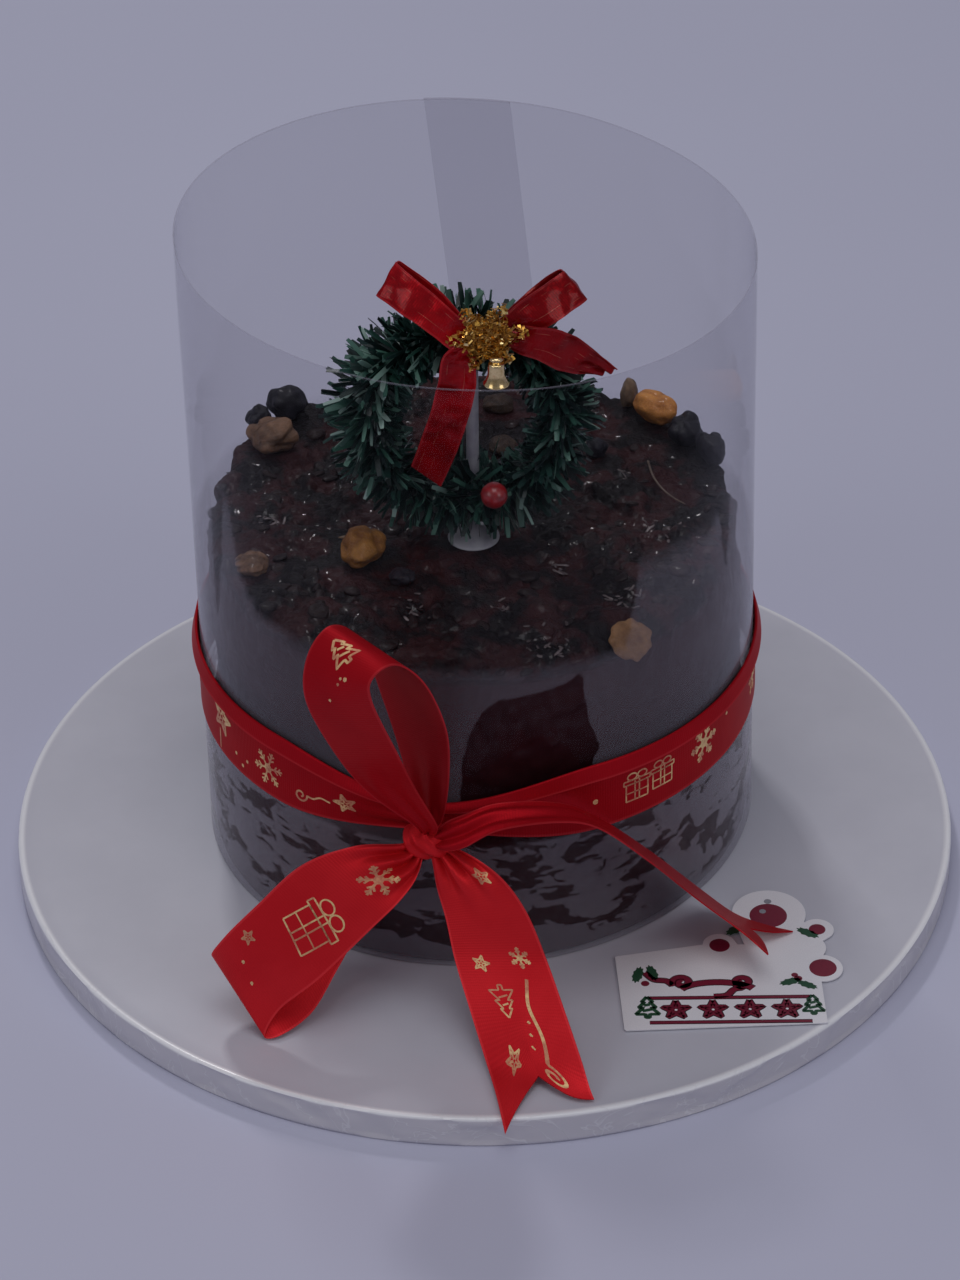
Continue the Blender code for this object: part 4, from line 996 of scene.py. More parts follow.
# ---- the board ----
def make_board():
    """A disc turned from its edge profile; the wrapped edge is crinkled in and out by noise, never
    past its radius."""
    sides = 720
    upright = np.linspace(0.9, 8.1, 13)
    edge = [(60.0, 0.0), (127.3, 0.0), (127.9, 0.25), *((128.1, level) for level in upright)]
    top = [(127.9, 8.6), (127.5, 8.9), (127.0, 9.0), (126.2, 9.0), (125.8, 8.93), (122.0, 8.93)]
    radius, height = np.array(edge + top + [(90.0, 8.96), (40.0, 8.96)]).T[..., None]
    angle = round_angles(sides)
    wrap = smooth((height - 0.4) / 1.0) * smooth((8.7 - height) / 0.8) * (radius > 127.0)
    here = round_points(radius, angle, height * 1.6)
    dent = smooth(2.0 * cloud(here, 17.0, 5, 2))
    radius = radius - wrap * (0.05 + 0.5 * dent + 0.14 * np.abs(cloud(here, 5.0, 9, 2)))
    lip = smooth((radius - 121.0) / 4.0) * (height > 8.0)
    height = height + 0.04 * lip * cloud(here, 9.0, 8)
    rings = round_points(radius, angle, height)
    points = with_poles(rings, (0.0, 0.0, 0.0), (0.0, 0.0, 8.96))
    wrapped = smooth((radius - 126.0) / 0.6)
    # lip: the top of the wrapped edge, which the finish paints bright as a highlight.
    shades = {"edge": wrapped, "lip": wrapped * (height > 8.4)}
    shades = {label: np.append(values.ravel(), [0.0, 0.0]) for label, values in shades.items()}
    board = put_mesh("wrapped_board", points, ball_faces(len(rings), sides), None, shades, 60.0)
    finish_piece(board, board_finish(), "board", "board")


# ---- the cake ----
def slice_frame():
    """Three directions of the round slice, which leans outwards over the front edge."""
    outward = math.atan2(SLICE_AT[1] - SLEEVE_Y, SLICE_AT[0] - SLEEVE_X)
    tilt = math.radians(SLICE_TILT)
    return np.array(Matrix.Rotation(outward, 3, "Z") @ Matrix.Rotation(tilt, 3, "Y"))


def seats():
    """The flat seat of each thing on the cake: middle, direction out, radius."""
    found = [(np.array((STAND_X, WREATH[1], STAND_BASE)), UP, FOOT_SEAT)]
    for place, size, _, _ in FRUIT.values():
        found.append((np.array(place), UP, max(size[0], size[1]) / 2.0 + SEAT_MARGIN))
    found.append((np.array(SLICE_AT), slice_frame()[:, 2], SLICE_SIZE[0] / 2.0 + SEAT_MARGIN))
    return found


def lump_field():
    """Seeded places, sizes and heights of the lumps, drawn in the solid cake's own order."""
    draw = random.Random(12)
    field = []
    while len(field) < LUMPS:
        x = draw.uniform(-LUMP_SPREAD, LUMP_SPREAD)
        y = draw.uniform(-LUMP_SPREAD, LUMP_SPREAD)
        if math.hypot(x, y) < LUMP_SPREAD:
            radius = draw.uniform(*LUMP_RADIUS)
            height = draw.uniform(*LUMP_HEIGHT)
            field.append((x + CAKE_X, y + CAKE_Y, radius, height))
    return field


def cake_relief(points, field):
    """Height of lumps and banks: the highest of the uneven low domes over a place, plus the banks'
    soft mounds."""
    raised = np.zeros(points.shape[:-1])
    shift = 2.2 * cloud(points, 5.0, 14, 2)
    for x, y, radius, height in field:
        away = np.hypot(points[..., 0] + shift - x, points[..., 1] - shift - y) / radius
        raised = np.maximum(raised, height * np.clip(1.0 - away * away, 0.0, 1.0) ** 0.8)
    for x, y, radius, height in BANKS:
        away = np.hypot(points[..., 0] - x, points[..., 1] - y) / radius
        raised = raised + height * smooth(1.0 - away)
    return raised


def press_seats(points, places):
    """Moves skin near a seat onto its plane, fully inside its radius and softly round it."""
    for middle, out, radius in places:
        offset = points - middle
        depth = offset @ out
        across = np.linalg.norm(offset - depth[..., None] * out, axis=-1)
        weight = smooth((radius + SEAT_BLEND - across) / SEAT_BLEND) * (np.abs(depth) < SEAT_DEPTH)
        points = points - (depth * weight)[..., None] * out
    return points


def crumb_relief(points):
    """Coarse crumb: rounded cells of two sizes with cracks between them, and a fine grain."""
    bent = points + 1.6 * cloud_shift(points, 4.0, 51)
    near, far, own = cells(bent, 5.2, 31)
    big = (1.0 - near) * (0.5 + own) * 0.8 - 0.3 * smooth(1.0 - (far - near) * 4.0)
    near, far, own = cells(bent, 2.3, 57)
    small = (1.0 - near) * 0.4 - 0.15 * smooth(1.0 - (far - near) * 4.0)
    return big + small + 0.7 * cloud(points, 3.6, 77, 4)


def cake_top_points(arc, angle, field, places):
    """The top's skin: out from the middle by arc length, bent over the rounded edge, raised by
    lumps and crumb, pressed at seats."""
    flat = CAKE_RADIUS - CAKE_ROUND
    bend = np.clip(arc - flat, 0.0, None) / CAKE_ROUND
    radius = np.minimum(arc, flat) + CAKE_ROUND * np.sin(bend)
    height = CAKE_TOP - CAKE_ROUND * (1.0 - np.cos(bend))
    place = points_from(CAKE_X + radius * np.cos(angle), CAKE_Y + radius * np.sin(angle), height)
    out = points_from(np.cos(angle) * np.sin(bend), np.sin(angle) * np.sin(bend), np.cos(bend))
    lift = cake_relief(place, field) * (0.35 + 0.65 * np.cos(bend)) - SKIN_DEPTH
    lift = lift + 0.85 * crumb_relief(place)
    return press_seats(place + out * lift[..., None], places)


def make_cake():
    """Rings of points: over the top by arc length, then down the side, which swells onto the film,
    and in under the base."""
    sides = 480
    field, places = lump_field(), seats()
    reach = CAKE_RADIUS - CAKE_ROUND + CAKE_ROUND * math.pi / 2.0
    arc = np.linspace(0.6, reach, 128)[:, None]
    top = cake_top_points(arc, round_angles(sides)[None, :], field, places)
    rim = top[-1:]
    level = np.linspace(95.0, CAKE_BOTTOM + 0.4, 66)[:, None]
    angle = np.arctan2(rim[..., 1] - SLEEVE_Y, rim[..., 0] - SLEEVE_X)
    free = 1.0 - smooth((BULGE_TOP - level) / (BULGE_TOP - BULGE_FULL))
    against_film = sleeve_radius(angle, level) - FILM_CLEAR
    plain = CAKE_RADIUS * free + against_film * (1.0 - free)
    here = round_points(plain, angle, level)
    rough = SIDE_RELIEF * (cloud(here, 14.0, 4) * free - 0.3)
    rough = rough + crumb_relief(here) * (0.5 * free + 0.12) - 0.25 * (1.0 - free)
    side = round_points(plain + np.minimum(rough, 0.9 * free + 0.15), angle, level)
    side = side + points_from(*sleeve_axis(level), 0.0)
    blend = smooth((94.0 - level) / 8.0)[..., None]
    shifted = rim[..., :2] + (side[..., :2] - side[:1, :, :2])
    side[..., :2] = side[..., :2] * blend + shifted * (1.0 - blend)
    foot = side[-1:] * (1.0, 1.0, 0.0) + (0.0, 0.0, CAKE_BOTTOM)
    middle = np.array((SLEEVE_X, SLEEVE_Y, CAKE_BOTTOM))
    rings = np.concatenate([top, side, *(middle + (foot - middle) * k for k in (0.992, 0.8, 0.4))])
    crown = cake_top_points(np.zeros(1), np.zeros(1), field, places)[0]
    points = with_poles(rings, crown, middle)
    side_share = (np.arange(len(points)) >= top.size // 3).astype(float)
    wet = np.zeros(len(points))
    for x, y, radius in WET_SPOTS:
        away = np.hypot(points[:, 0] - x, points[:, 1] - y) / radius
        wet = np.maximum(wet, smooth(1.4 * (1.0 - away)))
    shades = {"side": side_share, "wet": wet * (1.0 - side_share)}
    cake = put_mesh("plum_cake", points, ball_faces(len(rings), sides), shades=shades)
    finish_piece(cake, cake_finish(), "cake", "cake")
    return field, places


def scattered(draw, spots, widths, slimness, flatness, seed, ball, uneven, size):
    """Many uneven small balls, leaning a little, at their spots: points, faces and the count of
    points in each."""
    base, faces = small_ball(*ball)
    count = len(spots)
    sizes = points_from(widths, slimness, flatness)
    points, faces = copies(base, faces, spots, random_frames(draw, count, 0.5), sizes)
    return points + uneven * cloud_shift(points, size, seed, 2), faces, len(base)


def make_crumbs(field, places):
    """Small toppings half sunk in the top, all on seeded places of the skin: raisins, currants and
    nuts, pale slivers in the wet spots that paint glints, and a thin stalk along a curve."""
    draw = np.random.default_rng(41)
    count = 200
    arc = 72.0 * np.sqrt(draw.uniform(0.0, 1.0, count))
    spots = cake_top_points(arc, draw.uniform(0.0, TURN, count), field, places)
    keep = np.ones(count, dtype=bool)
    for middle, _, radius in places:
        keep &= np.hypot(spots[:, 0] - middle[0], spots[:, 1] - middle[1]) > radius - 0.4
    spots = spots[keep]
    count = len(spots)
    wide = draw.uniform(1.2, 3.4, count)
    slim, low = wide * draw.uniform(0.5, 0.95, count), wide * draw.uniform(0.24, 0.42, count)
    points, faces, each = scattered(
        draw, spots - (0.0, 0.0, 0.2), wide, slim, low, 5, (6, 9), 0.5, 2.2
    )
    shades = {"fold": np.repeat(draw.uniform(0.0, 1.0, count), each)}
    paint = dried_fruit_finish(
        "raisin skin", (0.0045, 0.003, 0.0045), (0.020, 0.0075, 0.008), 0.42, 0.0, 0.08
    )
    finish_piece(put_mesh("cake_raisins", points, faces, shades=shades), paint, "cake")

    # Pale slivers round the wet spots: painted glints on the sticky top.
    middles = np.array([spot for spot in WET_SPOTS for _ in range(int(spot[2] * 2.2))])
    count = len(middles)
    flat = middles[:, :2] + draw.normal(0.0, 0.42, (count, 2)) * middles[:, 2:]
    x, y = (flat - (CAKE_X, CAKE_Y)).T
    spots = cake_top_points(np.hypot(x, y), np.arctan2(y, x), field, places)
    sizes = (draw.uniform(*ends, count) for ends in ((0.5, 2.0), (0.22, 0.5), (0.15, 0.3)))
    points, faces, each = scattered(draw, spots + (0.0, 0.0, 0.1), *sizes, 25, (5, 8), 0.35, 2.0)
    shades = {"fold": np.repeat(draw.uniform(0.0, 1.0, count) ** 2, each)}
    paint = dried_fruit_finish(
        "pale slivers painted as glints", (0.030, 0.018, 0.020), (0.24, 0.19, 0.19), 0.3, 0.0, 0.5
    )
    finish_piece(put_mesh("painted_glint_slivers", points, faces, shades=shades), paint, "cake")

    rings, sides = 40, 8
    along = curve_points(STALK, np.linspace(0.0, 1.0, rings))
    way = unit(np.gradient(along, axis=0))
    side = unit(np.cross(way, UP))
    up = np.cross(side, way)
    thick = 0.32 - 0.14 * np.linspace(0.0, 1.0, rings)[:, None, None]
    x, y, _ = round_points(1.0, round_angles(sides), 0.0).T[..., None]
    tube = along[:, None] + thick * (x * side[:, None] + y * up[:, None])
    points = with_poles(tube, along[0], along[-1])
    paint = moulded_finish("dry stalk", (0.16, 0.115, 0.09), (0.10, 0.07, 0.055))
    finish_piece(put_mesh("raisin_stalk", points, ball_faces(rings, sides)), paint, "cake")


# ---- the fruit ----
def fruit_points(size, turn, seed, wrinkle, folds, flat_top=0.0, uneven=0.22):
    """A dried fruit: a ball squeezed to its size, pulled in along folds, wrinkled, and flat where
    it rests."""
    base, faces = small_ball(44, 64)
    rolled = base * (1.0, 1.0, 0.8) * folds
    near, far, _ = cells(rolled + seed * 3.1, 1.0, 90 + seed)
    fold = smooth((far - near) * 2.4)
    fine = cloud(rolled * 2.6, 1.0, 30 + seed, 3)
    big = cloud(base, 0.9, 60 + seed, 2)
    points = base * (1.0 + uneven * big + wrinkle * (fold - 0.7) + 0.35 * wrinkle * fine)[:, None]
    low, high = points.min(axis=0), points.max(axis=0)
    points = (points - (low + high) / 2.0) / ((high - low) / 2.0) * (np.array(size) / 2.0)
    points[:, 2] += size[2] * 0.425
    if flat_top:
        points[:, 2] = np.minimum(points[:, 2], size[2] * flat_top + 0.12 * fine)
    points[:, 2] = np.maximum(points[:, 2], GAP)
    points[:, :2] = turned_flat(points[:, :2], turn)
    return points, faces, fold


def make_fruit():
    """Glazed fruit as large as berries, each on its seat, the slice scalloped by two waves round
    its rim, and the stem of one sultana."""
    slots = {"apricot": "apricot", "pale": "apricot", "prune": "prune"}
    paints = {kind: dried_fruit_finish(*row[:6]) for kind, row in FRUIT_KINDS.items()}
    for seed, (name, (place, size, turn, kind)) in enumerate(FRUIT.items()):
        points, faces, fold = fruit_points(size, turn, seed, *FRUIT_KINDS[kind][6:])
        # fold is low where the skin is pulled in, and the finish paints shade there.
        fruit = put_mesh("glazed_" + name, points + place, faces, shades={"fold": fold})
        finish_piece(fruit, paints[kind], slots.get(kind, "golden_fruit"), name)

    points, faces, fold = fruit_points(SLICE_SIZE, 0.0, 31, 0.04, 1.3, 0.8, 0.05)
    out = np.hypot(points[:, 0] / SLICE_SIZE[0], points[:, 1] / SLICE_SIZE[1]) * 2.0
    way = np.arctan2(points[:, 1], points[:, 0])
    scallop = np.cos(7.0 * way + 0.5) + 0.8 * np.cos(11.0 * way + 2.0)
    points[:, :2] *= (1.0 + 0.045 * scallop * smooth((out - 0.4) / 0.4))[:, None]
    pale_rim = np.clip(0.15 + 0.9 * smooth((out - 0.25) / 0.45), 0.0, 1.0)
    # The slice's pale rim is its own colour; the fold term darkens its folds as painted shade.
    shades = {"fold": pale_rim * (0.75 + 0.25 * fold)}
    fruit = put_mesh("glazed_slice", points @ slice_frame().T + SLICE_AT, faces, shades=shades)
    paint = dried_fruit_finish(
        "dried slice", (0.13, 0.055, 0.022), (0.36, 0.195, 0.088), 0.5, 0.1, 0.1
    )
    finish_piece(fruit, paint, "golden_fruit", "round_fruit_slice")

    points, faces = small_ball(6, 8)
    points = points * SULTANA_STEM_HALF + SULTANA_STEM_AT
    stem = put_mesh("sultana_stem", points, faces, shades={"fold": np.full(len(points), 0.5)})
    finish_piece(stem, paints["pale"], "golden_fruit")


# ---- the wreath ----
def make_stand():
    """Foot and stem turned from one profile with softened corners."""
    base = STAND_BASE + GAP
    profile = (
        (0.0, STEM_TOP), (STEM_RADIUS * 0.7, STEM_TOP), (STEM_RADIUS, STEM_TOP - STEM_RADIUS * 0.4),
        (STEM_RADIUS, base + FOOT_DOME + 1.6), (STEM_RADIUS + 1.2, base + FOOT_DOME + 0.3),
        (FOOT_RADIUS * 0.72, base + FOOT_RIM + 0.6), (FOOT_RADIUS, base + FOOT_RIM * 0.6),
        (FOOT_RADIUS, base), (0.0, base),
    )
    stand = turned("moulded_stand", rounded(profile), 64, (STAND_X, WREATH[1], 0.0))
    paint = moulded_finish("white moulded stand", (0.44, 0.44, 0.48), (0.35, 0.35, 0.40))
    finish_piece(stand, paint, "stand", "wreath_stand")


def make_tinsel():
    """A brush of flat needles on a ring: roots run round the wire in a helix, and each needle leans
    out, bends and tapers. They are longer in two tufts and over the stem, and shorter inside."""
    draw = np.random.default_rng(7)
    count = 2700
    way = np.arange(count) / count * TURN
    helix = way * 34.0 + draw.integers(0, 4, count) * TURN / 4.0 + draw.normal(0.0, 0.35, count)
    ring = points_from(np.cos(way), 0.0, np.sin(way))
    along = points_from(-np.sin(way), 0.0, np.cos(way))
    lean = draw.normal(0.0, 0.46, count)[:, None] * along
    out = unit(np.cos(helix)[:, None] * ring + np.sin(helix)[:, None] * BACK + lean)
    root = np.array(WREATH) + ring * RING_RADIUS + out * 0.5
    tuft = 1.0 + 0.24 * hump(way, 1.72, 0.16) + 0.16 * hump(way, 2.9, 0.5)
    reach = (draw.uniform(0.62, 1.10, count) * BRUSH_RADIUS + 0.8) * tuft
    inner = smooth((-(out * ring).sum(axis=1) - 0.2) / 0.6)
    reach = reach * (1.0 - (0.22 - 0.75 * hump(way, 4.75, 0.22)) * inner)
    side = unit(np.cross(out, draw.normal(0.0, 1.0, (count, 3))))
    flat = np.cross(out, side)
    bend = draw.uniform(-2.4, 2.4, count)
    spots = np.array((0.0, 0.45, 0.8, 1.0))
    width = np.array((0.40, 0.56, 0.56, 0.42)) * draw.uniform(0.8, 1.5, count)[:, None]
    path = (
        root[:, None] + out[:, None] * (reach[:, None] * spots)[..., None]
        + flat[:, None] * (bend[:, None] * spots ** 2)[..., None]
        - 0.5 * UP * (spots ** 2)[None, :, None]
    )
    level = path[..., 2]
    near_stem = np.hypot(path[..., 0] - STAND_X, path[..., 1] - WREATH[1]) < STEM_RADIUS + 0.35
    above_ring = (level < STEM_TOP + 0.6) & (level > WREATH[2] - RING_RADIUS + 14.0)
    keep = ~(near_stem & above_ring).any(axis=1) & (level.min(axis=1) > STAND_BASE + 2.6)
    path, side, flat, width, way = path[keep], side[keep], flat[keep], width[keep], way[keep]
    count = len(path)
    half = side[:, None] * width[..., None]
    thick = flat[:, None] * 0.06
    corners = [path - half - thick, path + half - thick, path + half + thick, path - half + thick]
    points = np.stack(corners, axis=2).reshape(-1, 3)
    caps = [(3, 2, 1, 0), (12, 13, 14, 15)]
    needle = np.concatenate([grid_faces(4, 4, round_columns=True), caps])
    faces = (needle + (np.arange(count) * 16)[:, None, None]).reshape(-1, 4)
    tone = draw.beta(1.5, 1.7, count)
    # About one needle in fourteen is painted near mint: painted glints.
    painted_glint = draw.uniform(0.0, 1.0, count) < 0.07
    tone = np.where(painted_glint, draw.uniform(0.88, 1.0, count), tone * 0.94)
    # The needles on the ring's left side are painted lighter: painted light.
    tone = np.clip(tone + 0.10 * hump(way, 3.0, 0.8), 0.0, 1.0)
    shades = {"tone": np.repeat(tone, 16)}
    tinsel = put_mesh("tinsel_needles", points, [faces], shades=shades, sharp=30.0)
    finish_piece(tinsel, tinsel_finish(), "tinsel", "wreath_tinsel")


def make_wire():
    """The ring's core: two thin round strands, half a turn apart, twisted round one circle."""
    rings, sides, half, off = 360, 8, 0.4, 0.45
    way = round_angles(rings)
    out = points_from(np.cos(way), 0.0, np.sin(way))
    x, y, _ = round_points(1.0, round_angles(sides), 0.0).T[..., None]
    tube = half * (x * out[:, None] + y * BACK)
    strands = []
    for phase in (way * 60.0, way * 60.0 + math.pi):
        core = out * (RING_RADIUS + off * np.cos(phase))[:, None]
        core = core + np.outer(off * np.sin(phase), BACK)
        points = (core[:, None] + tube).reshape(-1, 3) + WREATH
        strands.append((points, [grid_faces(rings, sides, True, True)]))
    wire = put_mesh("tinsel_wire", *joined(strands))
    paint = moulded_finish("dark wire", (0.03, 0.035, 0.03), (0.015, 0.02, 0.018))
    finish_piece(wire, paint, "tinsel")


# ---- ribbons ----
class Laid:
    """A ribbon's middle surface with its lengths, for prints laid on it in millimetres; start is
    the share of it that lies before the first millimetre, inside the knot."""

    def __init__(self, grid, width, start=0.0):
        self.grid = grid
        self.normals = grid_normals(grid)
        self.lengths = path_lengths(grid[:, grid.shape[1] // 2])
        self.width = width
        self.start = np.interp(start * (len(grid) - 1), np.arange(len(grid)), self.lengths)

    def at(self, along, across, lift):
        """Points over the surface: along it and off its middle line in millimetres, lifted on the
        side that faces the front."""
        rows, columns = self.grid.shape[:2]
        row = np.interp(along + self.start, self.lengths, np.arange(rows))
        row = np.clip(row, 0.0, rows - 1.001)
        column = np.clip((across / self.width + 0.5) * (columns - 1), 0.0, columns - 1.001)
        r, c = row.astype(int), column.astype(int)
        fr, fc = (row - r)[..., None], (column - c)[..., None]

        def blend(field):
            """The value between four neighbours of the grid."""
            near = field[r, c] * (1 - fr) + field[r + 1, c] * fr
            far = field[r, c + 1] * (1 - fr) + field[r + 1, c + 1] * fr
            return near * (1 - fc) + far * fc

        square = unit(blend(self.normals))
        middle = np.atleast_1d(along).size // 2
        side = np.sign(square.reshape(-1, 3)[middle] @ TO_FRONT)
        return blend(self.grid) + square * side * np.asarray(lift)[..., None]


class Level:
    """A flat surface at one height, for prints on the card."""

    def __init__(self, height):
        self.height = height

    def at(self, along, across, lift):
        """Points over the surface at these places."""
        return points_from(along, across, self.height + np.asarray(lift))


def ribbon_grid(stations, rows, across, cut_width, pleats, notch=0.0, slant=0.0, deepest=1.5):
    """Points between two edges, each the Catmull-Rom curve through its corners.

    Where the edges come close the spare cloth stands in pleats: a wave across, as high as
    chord / (pi * pleats) * sqrt(cut width / chord - 1). Its end has a notch cut in, or a slant."""
    left, right = zip(*stations)
    along = np.linspace(0.0, 1.0, rows + 1)[:, None]
    side = np.linspace(0.0, 1.0, across + 1)[None, :]
    late = smooth((along - 0.6) / 0.4)
    reach = along - notch * (1.0 - np.abs(2.0 * side - 1.0)) * late
    left_share = 1.0 - side[..., None]
    grid = curve_points(left, reach) * left_share + curve_points(right, reach) * side[..., None]
    before, last = curve_points(right, np.array([0.97, 1.0]))
    grid = grid + unit(last - before) * (slant * side * late)[..., None]
    chord = np.linalg.norm(grid[:, -1] - grid[:, 0], axis=-1)[:, None]
    spare = np.sqrt(np.clip(cut_width / chord - 1.0, 0.0, 3.0))
    gathered = smooth((0.92 - chord / cut_width) / 0.35)
    height = np.minimum(chord / (math.pi * pleats) * spare, deepest) * gathered
    wave = np.sin(TURN * pleats * side + 0.6 * np.sin(along * 9.0))
    wave = wave * np.sin(math.pi * side) ** 0.4
    return grid + grid_normals(grid) * (height * wave)[..., None]


def drawn_in(station, middle, share):
    """A station's two corners brought towards a middle, so that the cloth runs on inside a knot."""
    corners = np.array(station)
    return share * (corners - middle) + middle


def ribbon_piece(
    name, grid, width, thick, paint, slot, node, closed=False
):
    """A ribbon from its middle surface: a thin closed sheet with a UV map in millimetres."""
    columns = grid.shape[1]
    middle = grid[:, columns // 2]
    lengths = path_lengths(middle)
    uv = points_from(lengths[:, None], np.linspace(0.0, width, columns)).reshape(-1, 2)
    piece = put_mesh(name, *shell(grid, thick, closed), np.tile(uv, (2, 1)), sharp=50.0)
    finish_piece(piece, paint, slot, node)


# ---- prints: strokes of unit size, each its points and half its width ----
def stroke(points, half):
    """One pen stroke of a print."""
    return np.array(points, dtype=float), half


def circle_stroke(x, y, radius, half, start=0.0, stop=360.0, squash=1.0):
    """Part of a circle as a stroke."""
    angle = np.radians(np.linspace(start, stop, 22))
    circle = points_from(x + radius * np.cos(angle), y + radius * squash * np.sin(angle))
    return stroke(circle, half)


def straight(half):
    """A straight line of unit reach to both sides."""
    return [stroke([(-1.0, 0.0), (1.0, 0.0)], half)]


def snowflake(half=0.05):
    """A frost star of unit reach: six arms with two pairs of side twigs."""
    made = []
    for turn in range(0, 360, 60):
        made.append(stroke(turned_flat([(0.0, 0.0), (1.0, 0.0)], turn), half))
        for place, twig in ((0.45, 0.21), (0.72, 0.168)):
            for way in (1, -1):
                ends = [(place, 0.0), (place + twig, way * twig)]
                made.append(stroke(turned_flat(ends, turn), half * 0.85))
    return made + [circle_stroke(0.0, 0.0, 0.2, half)]


def gift_box(half=0.04):
    """A wrapped parcel in outline: lid, box, two crossing bands and a two-looped bow."""
    box = [(-0.7, -0.8), (0.7, -0.8), (0.7, 0.25), (-0.7, 0.25), (-0.7, -0.8)]
    lid = [(-0.85, 0.25), (0.85, 0.25), (0.85, 0.5), (-0.85, 0.5), (-0.85, 0.25)]
    upright = [[(x, -0.8), (x, 0.5)] for x in (-0.14, 0.14)]
    loops = [circle_stroke(x, 0.72, 0.3, half, squash=0.7) for x in (-0.32, 0.32)]
    outlines = [stroke(path, half) for path in (box, lid, *upright)]
    return outlines + [stroke([(-0.7, -0.3), (0.7, -0.3)], half * 0.8)] + loops


def scroll(turns=1.25, half=0.05, reach=1.0):
    """A curl: a spiral that unwinds into a long tail."""
    angle = np.linspace(0.0, 360.0 * turns, 40)
    radius = 0.08 + 0.30 * angle / angle[-1]
    curl = points_from(radius * np.cos(np.radians(angle)), radius * np.sin(np.radians(angle)))
    steps = np.array(((0.0, 0.0), (0.1, 0.35 * reach), (-0.05, 0.8 * reach), (0.15, 1.3 * reach)))
    tail = curve_points(curl[-1] + steps, np.linspace(0.0, 1.0, 16))
    return [stroke(np.concatenate([curl, tail[1:]]), half)]


def small_star(half=0.09):
    """A five-pointed star in outline with a short stroke in each arm."""
    corner = np.arange(11)
    angle = corner * math.pi / 5 + math.pi / 2.0
    radius = np.where(corner % 2, 0.42, 1.0)
    outline = points_from(radius * np.cos(angle), radius * np.sin(angle))
    arms = [turned_flat([(0.0, 0.1), (0.0, 0.6)], turn) for turn in range(0, 360, 72)]
    return [stroke(path, half) for path in (outline, *arms)]


def fir_tree(half=0.05):
    """A little tree in outline: three stepped tiers, a trunk and two slanting strokes."""
    right = [
        (0.0, 1.0), (0.34, 0.5), (0.16, 0.5), (0.52, 0.0),
        (0.24, 0.0), (0.7, -0.6), (0.12, -0.6), (0.12, -0.9),
    ]
    left = [(-x, y) for x, y in reversed(right)]
    slants = [(-0.3, -0.3), (0.25, -0.15)], [(-0.2, 0.2), (0.15, 0.3)]
    return [stroke(path, half) for path in (right + left, *slants)]


def dots(places, half):
    """Small round dots as short fat rings."""
    return [circle_stroke(x, y, half * 0.5, half * 0.5) for x, y in places]


def even_path(points, step):
    """A path's points set at an even step."""
    lengths = path_lengths(points)
    place = np.linspace(0.0, lengths[-1], max(int(lengths[-1] / step) + 1, 2))
    return points_from(*(np.interp(place, lengths, points[:, k]) for k in range(2)))


def lay_strokes(name, jobs, lift, height, paint, slot):
    """Prints as thin closed strips on surfaces: each stroke is widened to both sides and carried
    over its surface.

    A job is a surface, strokes, middle along and across in mm, turn in degrees and size in mm."""
    shapes = []
    for surface, strokes, middle, turn, size in jobs:
        for path, half in strokes:
            flat = even_path(turned_flat(path * size, turn) + middle, 0.35)
            way = unit(np.gradient(flat, axis=0))
            aside = points_from(-way[:, 1], way[:, 0]) * half * size
            edge = np.stack([flat + aside, flat - aside, flat - aside, flat + aside], axis=1)
            lifts = np.broadcast_to((lift, lift, lift + height, lift + height), edge.shape[:2])
            points = surface.at(edge[..., 0], edge[..., 1], lifts).reshape(-1, 3)
            rows = len(flat)
            caps = [(3, 2, 1, 0), tuple(range(4 * rows - 4, 4 * rows))]
            faces = np.concatenate([grid_faces(rows, 4, round_columns=True), caps])
            shapes.append((points, [faces]))
    return finish_piece(put_mesh(name, *joined(shapes), sharp=30.0), paint, slot)


# ---- the printed ribbon ----
def band_section(share):
    """Across the printed ribbon: up the band, over a small fold and down the flap outside it, as
    height share and offset."""
    fold = 0.28
    tall = BIG_RIBBON_WIDTH - BAND_FLAP
    reach = share * BIG_RIBBON_WIDTH
    up = np.clip(reach / tall, 0.0, 1.0)
    bend = np.clip((reach - tall) / (math.pi * fold), 0.0, 1.0) * math.pi
    down = np.clip(reach - tall - math.pi * fold, 0.0, None)
    height = up * (BAND_HIGH - BAND_LOW) + fold * np.sin(bend) - down
    outwards = fold * (1.0 - np.cos(bend)) + 0.24 * down
    return height / (BAND_HIGH - BAND_LOW), outwards


